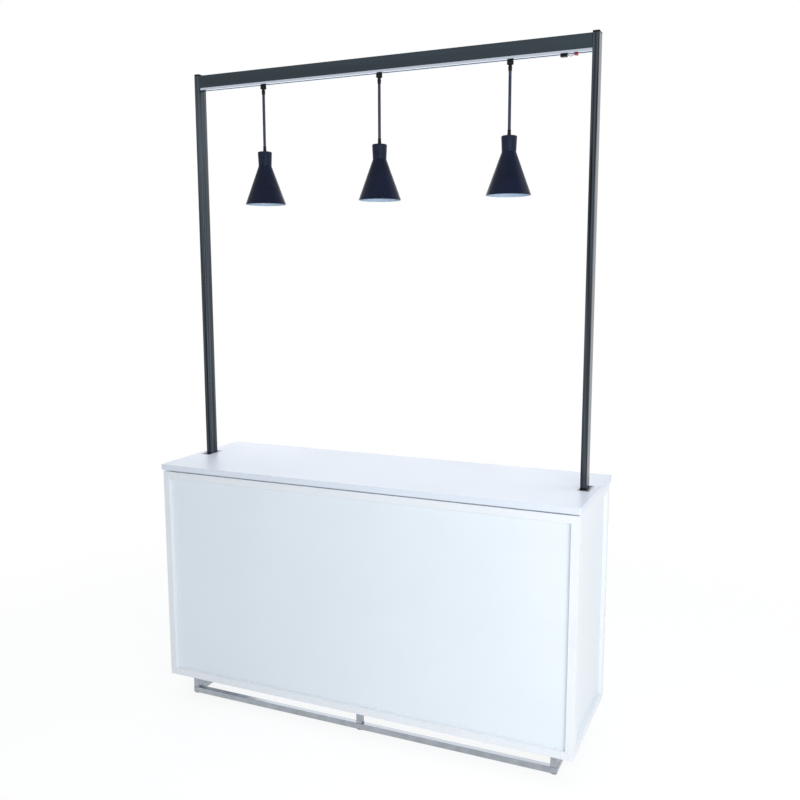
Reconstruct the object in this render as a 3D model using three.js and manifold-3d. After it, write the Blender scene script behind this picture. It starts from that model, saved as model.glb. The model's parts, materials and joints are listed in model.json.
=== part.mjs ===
// Folding portable bar: a white panelled counter on a folding tube frame, under a gantry of three lamps.
// Millimetres. The origin is on the floor under the middle of the counter. +X is to the right of
// someone who faces the front, +Y points to the open back and +Z is up.

import * as THREE from 'three';
import { mergeVertices } from 'three/addons/utils/BufferGeometryUtils.js';
import Module from 'manifold-3d';

const wasm = await Module();
wasm.setup();

// Counter
const BAR_WIDTH = 1830;
const BAR_DEPTH = 570;
const BAR_HEIGHT = 1065;
const TOP_THICKNESS = 25;
const TOP_CORNER_RADIUS = 5;
const TOP_CHAMFER = 1.5;

// Clearances
const FIT = 0.3; // round a piece that fits in another
const SEAT = 0.2; // under a piece that rests flat on another
const WING_GAP = 0.5; // between a wing and what it swings past

// White panels: a grooved border round a thin insert
const TOP_OVERHANG = 6;
const SHADOW_GAP = 6; // between the panels and the underside of the top
const PANEL_FLOOR_GAP = 105;
const PANEL_BORDER = 30;
const PANEL_DEPTH = 30;
const PANEL_RECESS = 16; // from the border's face back to the insert
const PANEL_CHAMFER = 1.2;
const PANEL_CORNER_GAP = 1; // between the front panel and a side panel
const INSERT_THICKNESS = 6;
const GROOVE_DEPTH = 8;

// Tube frame
const TUBE = 25;
const TUBE_WALL = 1.5;
const FRAME_SETBACK = 62; // from the faces of the panels, front and back
const FRAME_SIDE_INSET = 74; // from the faces of the side panels
const GLIDE_HEIGHT = 3;
const GLIDE_RADIUS = 11;
const GLIDE_PLUG = 14;

// Long hinge between the front frame and each wing
const HINGE_OFFSET = 5; // from the pin's axis to the tube faces
const HINGE_MARGIN = 55; // from the frame's ends to the hinge's ends
const KNUCKLE_RADIUS = 4;
const KNUCKLE_PITCH = 76;
const KNUCKLE_GAP = 0.5;
const PIN_RADIUS = 2;
const PIN_HEAD_RADIUS = 3.5;
const PIN_HEAD = 2.5;
const LEAF_THICKNESS = 2;
const LEAF_WIDTH = 28;

// Gantry
const GANTRY_RISE = 1672; // from the counter's surface to the tops of the post caps
const POST_WIDTH = 25;
const POST_DEPTH = 50;
const POST_WALL = 2;
const POST_INSET = 53; // from the counter's end to a post's middle
const POST_BACK = 14; // a post's middle lies this far behind the counter's middle
const CAP_HEIGHT = 7;
const CAP_PLUG_GAP = 2; // from the cap's plug down to the beam's tongue
const CAP_CHAMFER = 1.5;
const BEAM_HEIGHT = 50;
const BEAM_WALL = 2.5;
const TONGUE_HEIGHT = 30;
const TONGUE_DEPTH = 20;
const TONGUE_GRIP = 12; // length of a beam tongue inside the post
const TRACK_WIDTH = 40;
const TRACK_HEIGHT = 10;
const TRACK_WALL = 2;
const TRACK_SLOT = 14;
const CABLE_HOLE_RADIUS = 4;

// Post sockets in the counter top
const RING_WIDTH = 47;
const RING_DEPTH = 98;
const RING_FLANGE = 5;
const RING_THICKNESS = 2.5;
const RING_CORNER_RADIUS = 3;
const RING_CHAMFER = 0.5;
const RING_REBATE = 1.5; // the ring is let into the counter's surface
const RING_SHIFT = 4; // the socket's middle lies outboard of the post's middle
const LINER_SINK = 2; // from the counter's surface down to the liner
const SPIGOT_HEIGHT = 180;
const SPIGOT_WALL = 3;
const SPIGOT_PLATE = 4;
const PLATE_BORDER = 10; // the plate reaches this far past the opening
const LOCATING_PIN_RADIUS = 4;
const LOCATING_PIN_REACH = 20; // below the top
const LOCATING_PIN_ROOT = 12; // inside the top
const LOCATING_PIN_INSET = 235; // from the frame's end to a pin's middle

// Lead at the right end of the track
const FEED_INSET = 107; // from the post's face to the middle of the feed block
const FEED_LENGTH = 24;
const FEED_WIDTH = 16;
const FEED_HEIGHT = 9;
const RED_INSET = 62;
const RED_LENGTH = 11;
const RED_WIDTH = 10;
const RED_HEIGHT = 7;
const LEAD_RADIUS = 1.6;
const LEAD_SAG = 5;
const LEAD_FLAT = 4; // straight length at each end of the lead

// Lamps, from the ball's middle down
const LAMP_PITCH = 540;
const BALL_DROP = 13; // from the track to the ball's middle
const BALL_RADIUS = 9.5;
const BALL_PLAY = 0.7;
const CUP_RADIUS = 12.5;
const CUP_LIP = 4; // the cup ends this far below the ball's middle
const CUP_CHAMFER = 1.5;
const CLAMP_LENGTH = 24;
const CLAMP_THICKNESS = 2.5;
const CLAMP_STUD_RADIUS = 5;
const SLEEVE_LENGTH = 27;
const SLEEVE_TOP_RADIUS = 6;
const SLEEVE_END_RADIUS = 5;
const STEM_RADIUS = 4;
const STEM_LENGTH = 212;
const GLAND_LENGTH = 22;
const GLAND_TOP_RADIUS = 5;
const GLAND_END_RADIUS = 8;
const THREAD_RADIUS = 5;
const THREAD_LENGTH = 10;
const NECK_HEIGHT = 58;
const NECK_TOP_RADIUS = 30;
const NECK_END_RADIUS = 27.5;
const NECK_WALL = 1.5;
const NECK_ROUND = 3;
const HOLDER_RADIUS = 18;
const HOLDER_FLANGE_RADIUS = 21.5;
const HOLDER_FLANGE = 3;
const HOLDER_SKIRT = 8;
const SHADE_HEIGHT = 162;
const SHADE_WALL = 1.5;
const RIM_RADIUS = 86;
const RIM_BEAD = 1.2;
const RIM_BEAD_HEIGHT = 4;
const BULB_BASE_RADIUS = 13;
const BULB_BASE_LENGTH = 26;
const BULB_NECK_LENGTH = 30;
const BULB_RADIUS = 37;
const BULB_FLARE = 40;
const BULB_FACE = 14;
const BULB_WALL = 1.2;
const BULB_VENT_RADIUS = 3; // hole in the end of the screw base

// Smoothness of round pieces
const HINGE_SIDES = 10;
const SMALL_SIDES = 12;
const LAMP_SIDES = 28;
const ARC_STEPS = 5;
const BULB_STEPS = 4;
const CORNER_STEPS = 3;
const LEAD_SIDES = 8;
const LEAD_STEPS = 10;
const WELD = 1e-4;

// Places worked out from the sizes above
const topUnderside = BAR_HEIGHT - TOP_THICKNESS;
const panelFront = -BAR_DEPTH / 2 + TOP_OVERHANG;
const panelSide = BAR_WIDTH / 2 - TOP_OVERHANG;
const panelBack = panelFront + PANEL_DEPTH;
const panelHeight = topUnderside - SHADOW_GAP - PANEL_FLOOR_GAP;
const panelMiddle = PANEL_FLOOR_GAP + panelHeight / 2;
const borderMiddles = [-1, 1].map((end) => panelMiddle + end * (panelHeight - PANEL_BORDER) / 2);

const frameFront = panelFront + FRAME_SETBACK;
const frameRear = frameFront + TUBE;
const frameSide = panelSide - FRAME_SIDE_INSET;
const frameTop = topUnderside - SEAT;
const wingFront = frameRear + WING_GAP;
const wingRear = -panelFront - FRAME_SETBACK;
const wingTop = topUnderside - WING_GAP;
const wingInner = frameSide - TUBE;
const frameLow = GLIDE_HEIGHT;

const hingeX = wingInner - HINGE_OFFSET;
const hingeY = frameRear + HINGE_OFFSET;
const hingeLow = frameLow + HINGE_MARGIN;
const hingeHigh = wingTop - HINGE_MARGIN;

const postX = BAR_WIDTH / 2 - POST_INSET;
const postBottom = topUnderside + SPIGOT_PLATE + SEAT;
const postTop = BAR_HEIGHT + GANTRY_RISE - CAP_HEIGHT;
const postFace = postX - POST_WIDTH / 2;
const beamBottom = postTop - BEAM_HEIGHT;
const beamMiddle = postTop - BEAM_HEIGHT / 2;
const beamHalf = postFace - FIT;
const trackTop = beamBottom - SEAT;
const trackBottom = trackTop - TRACK_HEIGHT;
const socketX = postX + RING_SHIFT;
const openingWidth = RING_WIDTH - 2 * RING_FLANGE;
const openingDepth = RING_DEPTH - 2 * RING_FLANGE;
const pinX = frameSide - LOCATING_PIN_INSET;
const pinY = (frameFront + frameRear) / 2;
const lampPlaces = { left: -LAMP_PITCH, centre: 0, right: LAMP_PITCH };
const sides = { left: -1, right: 1 };

const FINISHES = {
  whiteLaminate: { color: 0xebf0fa, roughness: 0.4, metalness: 0 },
  whiteLacquer: { color: 0xf4f7fb, roughness: 0.35, metalness: 0 },
  whiteBoard: { color: 0xe4ecf3, roughness: 0.4, metalness: 0 },
  satinSteel: { color: 0xb4bac2, roughness: 0.35, metalness: 1 },
  brightSteel: { color: 0xc9ccd2, roughness: 0.25, metalness: 1 },
  darkChrome: { color: 0x4b5157, roughness: 0.18, metalness: 1 },
  slatePaint: { color: 0x414a54, roughness: 0.45, metalness: 0.2 },
  aluminium: { color: 0xb4c0d6, roughness: 0.35, metalness: 0.9 },
  blackPlastic: { color: 0x111317, roughness: 0.55, metalness: 0 },
  redPlastic: { color: 0xa01c28, roughness: 0.5, metalness: 0 },
  navyPaint: { color: 0x1b2030, roughness: 0.45, metalness: 0.1 },
  neckPaint: { color: 0x3c465a, roughness: 0.4, metalness: 0.3 },
  stemPaint: { color: 0x2c3048, roughness: 0.4, metalness: 0.3 },
  ceramic: { color: 0xe8e6e0, roughness: 0.5, metalness: 0 },
  bulbGlass: { color: 0xf2ede0, roughness: 0.2, metalness: 0 },
};

// Solids

function signedVolume(points, corners) {
  const at = (i) => new THREE.Vector3().fromArray(points, 3 * corners[i]);
  let volume = 0;
  for (let i = 0; i < corners.length; i += 3) {
    volume += at(i).dot(at(i + 1).cross(at(i + 2)));
  }
  return volume;
}

function toSolid(geometry) {
  const bare = geometry.clone();
  bare.deleteAttribute('normal');
  bare.deleteAttribute('uv');
  const welded = mergeVertices(bare, WELD);
  const points = welded.getAttribute('position').array;
  const all = welded.getIndex().array;
  const corners = [];
  for (let i = 0; i < all.length; i += 3) {
    const [a, b, c] = all.slice(i, i + 3);
    if (a !== b && b !== c && c !== a) corners.push(a, b, c);
  }
  if (signedVolume(points, corners) < 0) corners.reverse();
  const mesh = new wasm.Mesh({
    numProp: 3,
    vertProperties: new Float32Array(points),
    triVerts: new Uint32Array(corners),
  });
  return new wasm.Manifold(mesh);
}

function toGeometry(solid) {
  const mesh = solid.getMesh();
  const geometry = new THREE.BufferGeometry();
  geometry.setAttribute('position', new THREE.BufferAttribute(mesh.vertProperties, mesh.numProp));
  geometry.setIndex(new THREE.BufferAttribute(mesh.triVerts, 1));
  geometry.computeVertexNormals();
  return geometry;
}

function join(solids) {
  return solids.reduce((whole, solid) => whole.add(solid));
}

function cut(solid, tools) {
  return tools.reduce((rest, tool) => rest.subtract(tool), solid);
}

// A box between two values on each axis
function box([x0, x1], [y0, y1], [z0, z1]) {
  const shape = new THREE.BoxGeometry(x1 - x0, y1 - y0, z1 - z0);
  shape.translate((x0 + x1) / 2, (y0 + y1) / 2, (z0 + z1) / 2);
  return toSolid(shape);
}

// A box of a width and depth about a middle in plan, between two heights
function upright(x, y, width, depth, [z0, z1]) {
  return box([x - width / 2, x + width / 2], [y - depth / 2, y + depth / 2], [z0, z1]);
}

// An upright cylinder
function rod(x, y, radius, [z0, z1], segments) {
  const shape = new THREE.CylinderGeometry(radius, radius, z1 - z0, segments);
  shape.rotateX(Math.PI / 2);
  shape.translate(x, y, (z0 + z1) / 2);
  return toSolid(shape);
}

// A body of revolution about Z from [radius, height] pairs
function turned(profile, segments) {
  const points = profile.map(([radius, height]) => new THREE.Vector2(radius, height));
  const shape = new THREE.LatheGeometry(points, segments);
  shape.rotateX(Math.PI / 2);
  return toSolid(shape);
}

// Points on an arc about the axis' origin, by angle from straight down
function arc(radius, fromAngle, toAngle) {
  const points = [];
  for (let i = 0; i <= ARC_STEPS; i += 1) {
    const angle = THREE.MathUtils.lerp(fromAngle, toAngle, i / ARC_STEPS);
    points.push([Math.max(radius * Math.sin(angle), 0), -radius * Math.cos(angle)]);
  }
  return points;
}

function roundedRectangle(width, depth, radius) {
  const x = width / 2;
  const y = depth / 2;
  const outline = new THREE.Shape();
  outline.moveTo(-x + radius, -y);
  outline.lineTo(x - radius, -y);
  outline.absarc(x - radius, -y + radius, radius, -Math.PI / 2, 0);
  outline.lineTo(x, y - radius);
  outline.absarc(x - radius, y - radius, radius, 0, Math.PI / 2);
  outline.lineTo(-x + radius, y);
  outline.absarc(-x + radius, y - radius, radius, Math.PI / 2, Math.PI);
  outline.lineTo(-x, -y + radius);
  outline.absarc(-x + radius, -y + radius, radius, Math.PI, 1.5 * Math.PI);
  return outline;
}

function rectangle(width, height) {
  const x = width / 2;
  const y = height / 2;
  return new THREE.Shape([
    new THREE.Vector2(-x, -y),
    new THREE.Vector2(x, -y),
    new THREE.Vector2(x, y),
    new THREE.Vector2(-x, y),
  ]);
}

// A plate of a given thickness from z = 0 up, with chamfered edges
function plate(outline, thickness, chamfer) {
  const shape = new THREE.ExtrudeGeometry(outline, {
    depth: thickness - 2 * chamfer,
    bevelEnabled: true,
    bevelThickness: chamfer,
    bevelSize: chamfer,
    bevelOffset: -chamfer,
    bevelSegments: 1,
    curveSegments: CORNER_STEPS,
  });
  shape.translate(0, 0, chamfer);
  return shape;
}

function piece(name, shape, finish) {
  const geometry = shape.isBufferGeometry ? shape : toGeometry(shape);
  const mesh = new THREE.Mesh(geometry, new THREE.MeshStandardMaterial(finish));
  mesh.name = name;
  return mesh;
}

// A piece modelled on the right, turned over for the left
function sidePiece(name, solid, finish, side) {
  const geometry = toGeometry(solid);
  if (side < 0) {
    geometry.scale(-1, 1, 1);
    geometry.getIndex().array.reverse();
    geometry.computeVertexNormals();
  }
  return piece(name, geometry, finish);
}

// Square tube between two corners: its outside, and the hollow that is cut from it.
// The ends of the hollow stand in by the given amounts, less than nothing where an end is open.
function tube(x, y, z, along, [startIn, endIn]) {
  const hollow = { x, y, z };
  for (const axis of ['x', 'y', 'z']) {
    const [low, high] = hollow[axis];
    const inset = axis === along ? [startIn, endIn] : [TUBE_WALL, TUBE_WALL];
    hollow[axis] = [low + inset[0], high - inset[1]];
  }
  return { outside: box(x, y, z), hollow: box(hollow.x, hollow.y, hollow.z) };
}

function weld(tubes) {
  return cut(join(tubes.map((t) => t.outside)), tubes.map((t) => t.hollow));
}

const CLOSED = [TUBE_WALL, TUBE_WALL];
const OPEN_BELOW = [-TUBE_WALL, TUBE_WALL];

function about(middle) {
  return [middle - TUBE / 2, middle + TUBE / 2];
}

// Front frame

function frontFrame() {
  const y = [frameFront, frameRear];
  const height = [frameLow, frameTop];
  const width = [-frameSide, frameSide];
  const columns = [[-frameSide, -wingInner], about(0), [wingInner, frameSide]];
  const posts = columns.map((x) => tube(x, y, height, 'z', OPEN_BELOW));
  const rails = [frameLow, frameTop - TUBE].map((z) => tube(width, y, [z, z + TUBE], 'x', CLOSED));
  const stubReach = [panelBack + SEAT, frameFront + TUBE_WALL];
  const stubs = columns.flatMap((x) =>
    borderMiddles.map((z) => tube(x, stubReach, about(z), 'y', [TUBE_WALL, -TUBE_WALL])),
  );
  const holes = [-1, 1].map((side) =>
    rod(side * pinX, pinY, LOCATING_PIN_RADIUS + FIT,
      [frameTop - 2 * TUBE_WALL, frameTop + TUBE_WALL], SMALL_SIDES),
  );
  return cut(weld([...posts, ...rails, ...stubs]), holes);
}

// A disc under the end of a tube, with a plug inside it
function glide() {
  const plug = TUBE / 2 - TUBE_WALL - FIT;
  const disc = rod(0, 0, GLIDE_RADIUS, [0, GLIDE_HEIGHT - SEAT], SMALL_SIDES);
  return disc.add(upright(0, 0, 2 * plug, 2 * plug, [GLIDE_HEIGHT / 2, GLIDE_HEIGHT + GLIDE_PLUG]));
}

function frontGlides() {
  const places = { left: -1, centre: 0, right: 1 };
  return Object.entries(places).map(([name, side]) => {
    const mesh = piece(`front_glide_${name}`, glide(), FINISHES.blackPlastic);
    mesh.position.set(side * (frameSide - TUBE / 2), pinY, 0);
    return mesh;
  });
}

// Long hinge. Knuckles alternate between the frame's leaf and the wing's leaf.

function knuckleSpans() {
  const count = Math.max(3, Math.round((hingeHigh - hingeLow) / KNUCKLE_PITCH));
  const pitch = (hingeHigh - hingeLow) / count;
  return Array.from({ length: count }, (_, i) => {
    const low = hingeLow + i * pitch;
    return [low + KNUCKLE_GAP / 2, low + pitch - KNUCKLE_GAP / 2];
  });
}

// place turns a stretch along the leaf and one out from the pin towards the tube into x and y
function hingeLeaf(place, parity) {
  const root = KNUCKLE_RADIUS + KNUCKLE_GAP;
  const outward = [HINGE_OFFSET - FIT - LEAF_THICKNESS, HINGE_OFFSET - FIT];
  const own = knuckleSpans().filter((_, i) => i % 2 === parity);
  const flat = box(...place([root, LEAF_WIDTH], outward), [hingeLow, hingeHigh]);
  const tabs = own.map((span) => box(...place([0, root + LEAF_THICKNESS], outward), span));
  const barrels = own.map((span) => rod(hingeX, hingeY, KNUCKLE_RADIUS, span, HINGE_SIDES));
  const bore = rod(hingeX, hingeY, PIN_RADIUS + FIT, [hingeLow - 1, hingeHigh + 1], HINGE_SIDES);
  return join([flat, ...tabs, ...barrels]).subtract(bore);
}

function fixedLeaf() {
  return hingeLeaf(([a0, a1], [n0, n1]) => [
    [hingeX - a1, hingeX - a0],
    [hingeY - n1, hingeY - n0],
  ], 0);
}

function wingLeaf() {
  return hingeLeaf(([a0, a1], [n0, n1]) => [
    [hingeX + n0, hingeX + n1],
    [hingeY + a0, hingeY + a1],
  ], 1);
}

function hingePin() {
  const shank = rod(hingeX, hingeY, PIN_RADIUS, [hingeLow, hingeHigh + PIN_HEAD], HINGE_SIDES);
  const head = [hingeHigh + SEAT, hingeHigh + SEAT + PIN_HEAD];
  return shank.add(rod(hingeX, hingeY, PIN_HEAD_RADIUS, head, HINGE_SIDES));
}

// Wing frame, on the right
function wingFrame() {
  const x = [wingInner, frameSide];
  const height = [frameLow, wingTop];
  const length = [wingFront, wingRear];
  const columns = [[wingFront, wingFront + TUBE], [wingRear - TUBE, wingRear]];
  const posts = columns.map((y) => tube(x, y, height, 'z', OPEN_BELOW));
  const rails = [frameLow, wingTop - TUBE].map((z) => tube(x, length, [z, z + TUBE], 'y', CLOSED));
  const stubReach = [frameSide - TUBE_WALL, panelSide - PANEL_DEPTH - SEAT];
  const stubs = columns.flatMap((y) =>
    borderMiddles.map((z) => tube(stubReach, y, about(z), 'x', [-TUBE_WALL, TUBE_WALL])),
  );
  return weld([...posts, ...rails, ...stubs]);
}

// A panel stands in the XZ plane about its middle, its face at y = 0 and its back towards +Y
function panelBorder(width) {
  const outline = rectangle(width, panelHeight);
  outline.holes.push(rectangle(width - 2 * PANEL_BORDER, panelHeight - 2 * PANEL_BORDER));
  const shape = plate(outline, PANEL_DEPTH, PANEL_CHAMFER);
  shape.rotateX(Math.PI / 2);
  shape.translate(0, PANEL_DEPTH, 0);
  return toSolid(shape).subtract(panelSlab(width, GROOVE_DEPTH, FIT));
}

function panelSlab(width, intoBorder, play) {
  const x = width / 2 - PANEL_BORDER + intoBorder;
  const z = panelHeight / 2 - PANEL_BORDER + intoBorder;
  return box([-x, x], [PANEL_RECESS - play, PANEL_RECESS + INSERT_THICKNESS + play], [-z, z]);
}

function panel(name, width) {
  const group = new THREE.Group();
  group.add(piece(`${name}_panel_frame`, panelBorder(width), FINISHES.whiteLacquer));
  group.add(piece(`${name}_panel_insert`, panelSlab(width, GROOVE_DEPTH - FIT, 0), FINISHES.whiteBoard));
  return group;
}

function frontPanel() {
  const group = panel('front', 2 * panelSide);
  group.position.set(0, panelFront, panelMiddle);
  return group;
}

function sidePanel(name, side) {
  const front = panelBack + PANEL_CORNER_GAP;
  const rear = -panelFront;
  const group = panel(name, rear - front);
  group.position.set(side * panelSide, (front + rear) / 2, panelMiddle);
  group.rotation.z = side * Math.PI / 2;
  return group;
}

function base() {
  const group = new THREE.Group();
  group.add(piece('front_frame', frontFrame(), FINISHES.satinSteel), ...frontGlides(), frontPanel());
  for (const [name, side] of Object.entries(sides)) {
    group.add(sidePiece(`fixed_leaf_${name}`, fixedLeaf(), FINISHES.brightSteel, side));
    group.add(sidePiece(`hinge_pin_${name}`, hingePin(), FINISHES.brightSteel, side));
  }
  return group;
}

function wing(name, side) {
  const group = new THREE.Group();
  group.add(sidePiece(`${name}_wing_frame`, wingFrame(), FINISHES.satinSteel, side));
  group.add(sidePiece(`${name}_wing_leaf`, wingLeaf(), FINISHES.brightSteel, side));
  const foot = piece(`${name}_wing_glide`, glide(), FINISHES.blackPlastic);
  foot.position.set(side * (frameSide - TUBE / 2), wingRear - TUBE / 2, 0);
  group.add(foot, sidePanel(name, side));
  return group;
}

// Counter top and the sockets of the posts

// What the ring takes out of the counter's surface
function ringSeat(side) {
  const outline = roundedRectangle(RING_WIDTH + 2 * FIT, RING_DEPTH + 2 * FIT, RING_CORNER_RADIUS + FIT);
  const shape = new THREE.ExtrudeGeometry(outline, {
    depth: 2 * RING_REBATE,
    bevelEnabled: false,
    curveSegments: CORNER_STEPS,
  });
  shape.translate(side * socketX, POST_BACK, BAR_HEIGHT - RING_REBATE);
  return toSolid(shape);
}

function counterTop() {
  const board = plate(roundedRectangle(BAR_WIDTH, BAR_DEPTH, TOP_CORNER_RADIUS), TOP_THICKNESS, TOP_CHAMFER);
  board.translate(0, 0, topUnderside);
  const through = [topUnderside - 1, BAR_HEIGHT + 1];
  const rebate = [topUnderside - 1, topUnderside + SPIGOT_PLATE + FIT];
  const width = openingWidth + 2 * PLATE_BORDER;
  const depth = openingDepth + 2 * PLATE_BORDER;
  const cuts = [-1, 1].flatMap((side) => [
    upright(side * socketX, POST_BACK, openingWidth, openingDepth, through),
    ringSeat(side),
    upright(side * socketX, POST_BACK, width + 2 * FIT, depth + 2 * FIT, rebate),
    rod(side * pinX, pinY, LOCATING_PIN_RADIUS + FIT,
      [topUnderside - 1, topUnderside + LOCATING_PIN_ROOT + FIT], SMALL_SIDES),
  ]);
  return cut(toSolid(board), cuts);
}

function socketRing() {
  const outline = roundedRectangle(RING_WIDTH, RING_DEPTH, RING_CORNER_RADIUS);
  outline.holes.push(rectangle(openingWidth, openingDepth));
  const shape = plate(outline, RING_THICKNESS, RING_CHAMFER);
  shape.translate(socketX, POST_BACK, BAR_HEIGHT - RING_REBATE + SEAT);
  return toSolid(shape);
}

function socketLiner() {
  const height = [postBottom, BAR_HEIGHT - LINER_SINK];
  const block = upright(socketX, POST_BACK, openingWidth - 2 * FIT, openingDepth - 2 * FIT, height);
  const pocket = [height[0] - 1, height[1] + 1];
  return block.subtract(upright(postX, POST_BACK, POST_WIDTH + 2 * FIT, POST_DEPTH + 2 * FIT, pocket));
}

function postSpigot() {
  const width = POST_WIDTH - 2 * POST_WALL - 2 * FIT;
  const depth = POST_DEPTH - 2 * POST_WALL - 2 * FIT;
  const foot = [topUnderside, topUnderside + SPIGOT_PLATE];
  const height = [foot[1] - 1, foot[1] + SPIGOT_HEIGHT];
  const base = upright(socketX, POST_BACK, openingWidth + 2 * PLATE_BORDER,
    openingDepth + 2 * PLATE_BORDER, foot);
  const hollow = upright(postX, POST_BACK, width - 2 * SPIGOT_WALL, depth - 2 * SPIGOT_WALL,
    [foot[1], height[1] + 1]);
  return base.add(upright(postX, POST_BACK, width, depth, height)).subtract(hollow);
}

function locatingPin() {
  const reach = [topUnderside - LOCATING_PIN_REACH, topUnderside + LOCATING_PIN_ROOT];
  return rod(pinX, pinY, LOCATING_PIN_RADIUS, reach, SMALL_SIDES);
}

function counter() {
  const group = new THREE.Group();
  group.add(piece('counter_top', counterTop(), FINISHES.whiteLaminate));
  for (const [name, side] of Object.entries(sides)) {
    group.add(sidePiece(`socket_ring_${name}`, socketRing(), FINISHES.brightSteel, side));
    group.add(sidePiece(`socket_liner_${name}`, socketLiner(), FINISHES.blackPlastic, side));
    group.add(sidePiece(`post_spigot_${name}`, postSpigot(), FINISHES.satinSteel, side));
    group.add(sidePiece(`locating_pin_${name}`, locatingPin(), FINISHES.brightSteel, side));
  }
  return group;
}

// Gantry

function gantryPost() {
  const inside = [POST_WIDTH - 2 * POST_WALL, POST_DEPTH - 2 * POST_WALL];
  const skin = upright(postX, POST_BACK, POST_WIDTH, POST_DEPTH, [postBottom, postTop]);
  const hollow = upright(postX, POST_BACK, ...inside, [postBottom - 1, postTop + 1]);
  const slot = box([postFace - 1, postX],
    [POST_BACK - TONGUE_DEPTH / 2 - FIT, POST_BACK + TONGUE_DEPTH / 2 + FIT],
    [beamMiddle - TONGUE_HEIGHT / 2 - FIT, beamMiddle + TONGUE_HEIGHT / 2 + FIT]);
  return cut(skin, [hollow, slot]);
}

function postCap() {
  const head = plate(rectangle(POST_WIDTH, POST_DEPTH), CAP_HEIGHT - SEAT, CAP_CHAMFER);
  head.translate(postX, POST_BACK, postTop + SEAT);
  const plugEnd = beamMiddle + TONGUE_HEIGHT / 2 + CAP_PLUG_GAP;
  const plug = upright(postX, POST_BACK, POST_WIDTH - 2 * POST_WALL - 2 * FIT,
    POST_DEPTH - 2 * POST_WALL - 2 * FIT, [plugEnd, postTop + CAP_HEIGHT / 2]);
  return toSolid(head).add(plug);
}

function cableHoles() {
  const height = [trackBottom + TRACK_WALL, beamBottom + 2 * BEAM_WALL];
  return Object.values(lampPlaces).map((x) => rod(x, POST_BACK, CABLE_HOLE_RADIUS, height, SMALL_SIDES));
}

function gantryBeam() {
  const depth = [POST_BACK - POST_DEPTH / 2, POST_BACK + POST_DEPTH / 2];
  const tongueReach = postFace + POST_WALL + TONGUE_GRIP;
  const skin = box([-beamHalf, beamHalf], depth, [beamBottom, postTop]);
  const hollow = box([-beamHalf + BEAM_WALL, beamHalf - BEAM_WALL],
    [depth[0] + BEAM_WALL, depth[1] - BEAM_WALL], [beamBottom + BEAM_WALL, postTop - BEAM_WALL]);
  const tongues = [-1, 1].map((side) => {
    const ends = [side * (beamHalf - BEAM_WALL), side * tongueReach].sort((a, b) => a - b);
    return box(ends, [POST_BACK - TONGUE_DEPTH / 2, POST_BACK + TONGUE_DEPTH / 2],
      [beamMiddle - TONGUE_HEIGHT / 2, beamMiddle + TONGUE_HEIGHT / 2]);
  });
  return cut(join([skin.subtract(hollow), ...tongues]), cableHoles());
}

// Channel that is open below between two lips
function lightTrack() {
  const span = (half) => [POST_BACK - half, POST_BACK + half];
  const skin = box([-beamHalf, beamHalf], span(TRACK_WIDTH / 2), [trackBottom, trackTop]);
  const past = [-beamHalf - 1, beamHalf + 1];
  const hollow = box(past, span(TRACK_WIDTH / 2 - TRACK_WALL),
    [trackBottom + TRACK_WALL, trackTop - TRACK_WALL]);
  const slot = box(past, span(TRACK_SLOT / 2), [trackBottom - 1, trackTop - TRACK_WALL]);
  return cut(skin, [hollow, slot, ...cableHoles()]);
}

const clampBottom = trackBottom + TRACK_WALL + SEAT;

// A block under the track, held by a foot inside the slot
function trackBlock(x, length, width, height) {
  const block = plate(rectangle(length, width), height, CUP_CHAMFER / 2);
  block.translate(x, POST_BACK, trackBottom - SEAT - height);
  const neck = upright(x, POST_BACK, length / 2, TRACK_SLOT - 2 * FIT,
    [trackBottom - height / 2, clampBottom + 1]);
  const clamp = upright(x, POST_BACK, length / 2, TRACK_SLOT + 2 * CLAMP_THICKNESS,
    [clampBottom, clampBottom + CLAMP_THICKNESS]);
  return join([toSolid(block), neck, clamp]);
}

const feedX = postFace - FEED_INSET;
const redX = postFace - RED_INSET;

// The lead leaves the feed block level, sags, and enters the red terminal level
function feedLead() {
  const startX = feedX + FEED_LENGTH / 2 + FIT;
  const endX = redX - RED_LENGTH / 2 - FIT;
  const startZ = trackBottom - SEAT - FEED_HEIGHT / 2;
  const endZ = trackBottom - SEAT - RED_HEIGHT / 2;
  const low = Math.min(startZ, endZ) - LEAD_SAG;
  const route = new THREE.CatmullRomCurve3([
    new THREE.Vector3(startX, POST_BACK, startZ),
    new THREE.Vector3(startX + LEAD_FLAT, POST_BACK, startZ),
    new THREE.Vector3((startX + endX) / 2, POST_BACK, low),
    new THREE.Vector3(endX - LEAD_FLAT, POST_BACK, endZ),
    new THREE.Vector3(endX, POST_BACK, endZ),
  ]);
  const section = new THREE.Shape();
  section.absarc(0, 0, LEAD_RADIUS, 0, 2 * Math.PI);
  const shape = new THREE.ExtrudeGeometry(section, {
    steps: LEAD_STEPS,
    extrudePath: route,
    curveSegments: LEAD_SIDES / 2,
  });
  return toSolid(shape);
}

function gantry() {
  const group = new THREE.Group();
  group.add(piece('gantry_beam', gantryBeam(), FINISHES.slatePaint));
  group.add(piece('light_track', lightTrack(), FINISHES.aluminium));
  for (const [name, side] of Object.entries(sides)) {
    group.add(sidePiece(`gantry_post_${name}`, gantryPost(), FINISHES.darkChrome, side));
    group.add(sidePiece(`post_cap_${name}`, postCap(), FINISHES.blackPlastic, side));
  }
  const feed = trackBlock(feedX, FEED_LENGTH, FEED_WIDTH, FEED_HEIGHT);
  const terminal = trackBlock(redX, RED_LENGTH, RED_WIDTH, RED_HEIGHT);
  group.add(piece('feed_block', feed, FINISHES.blackPlastic));
  group.add(piece('red_terminal', terminal, FINISHES.redPlastic));
  group.add(piece('feed_lead', feedLead(), FINISHES.satinSteel));
  return group;
}

// Lamp, about the middle of its ball

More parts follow.
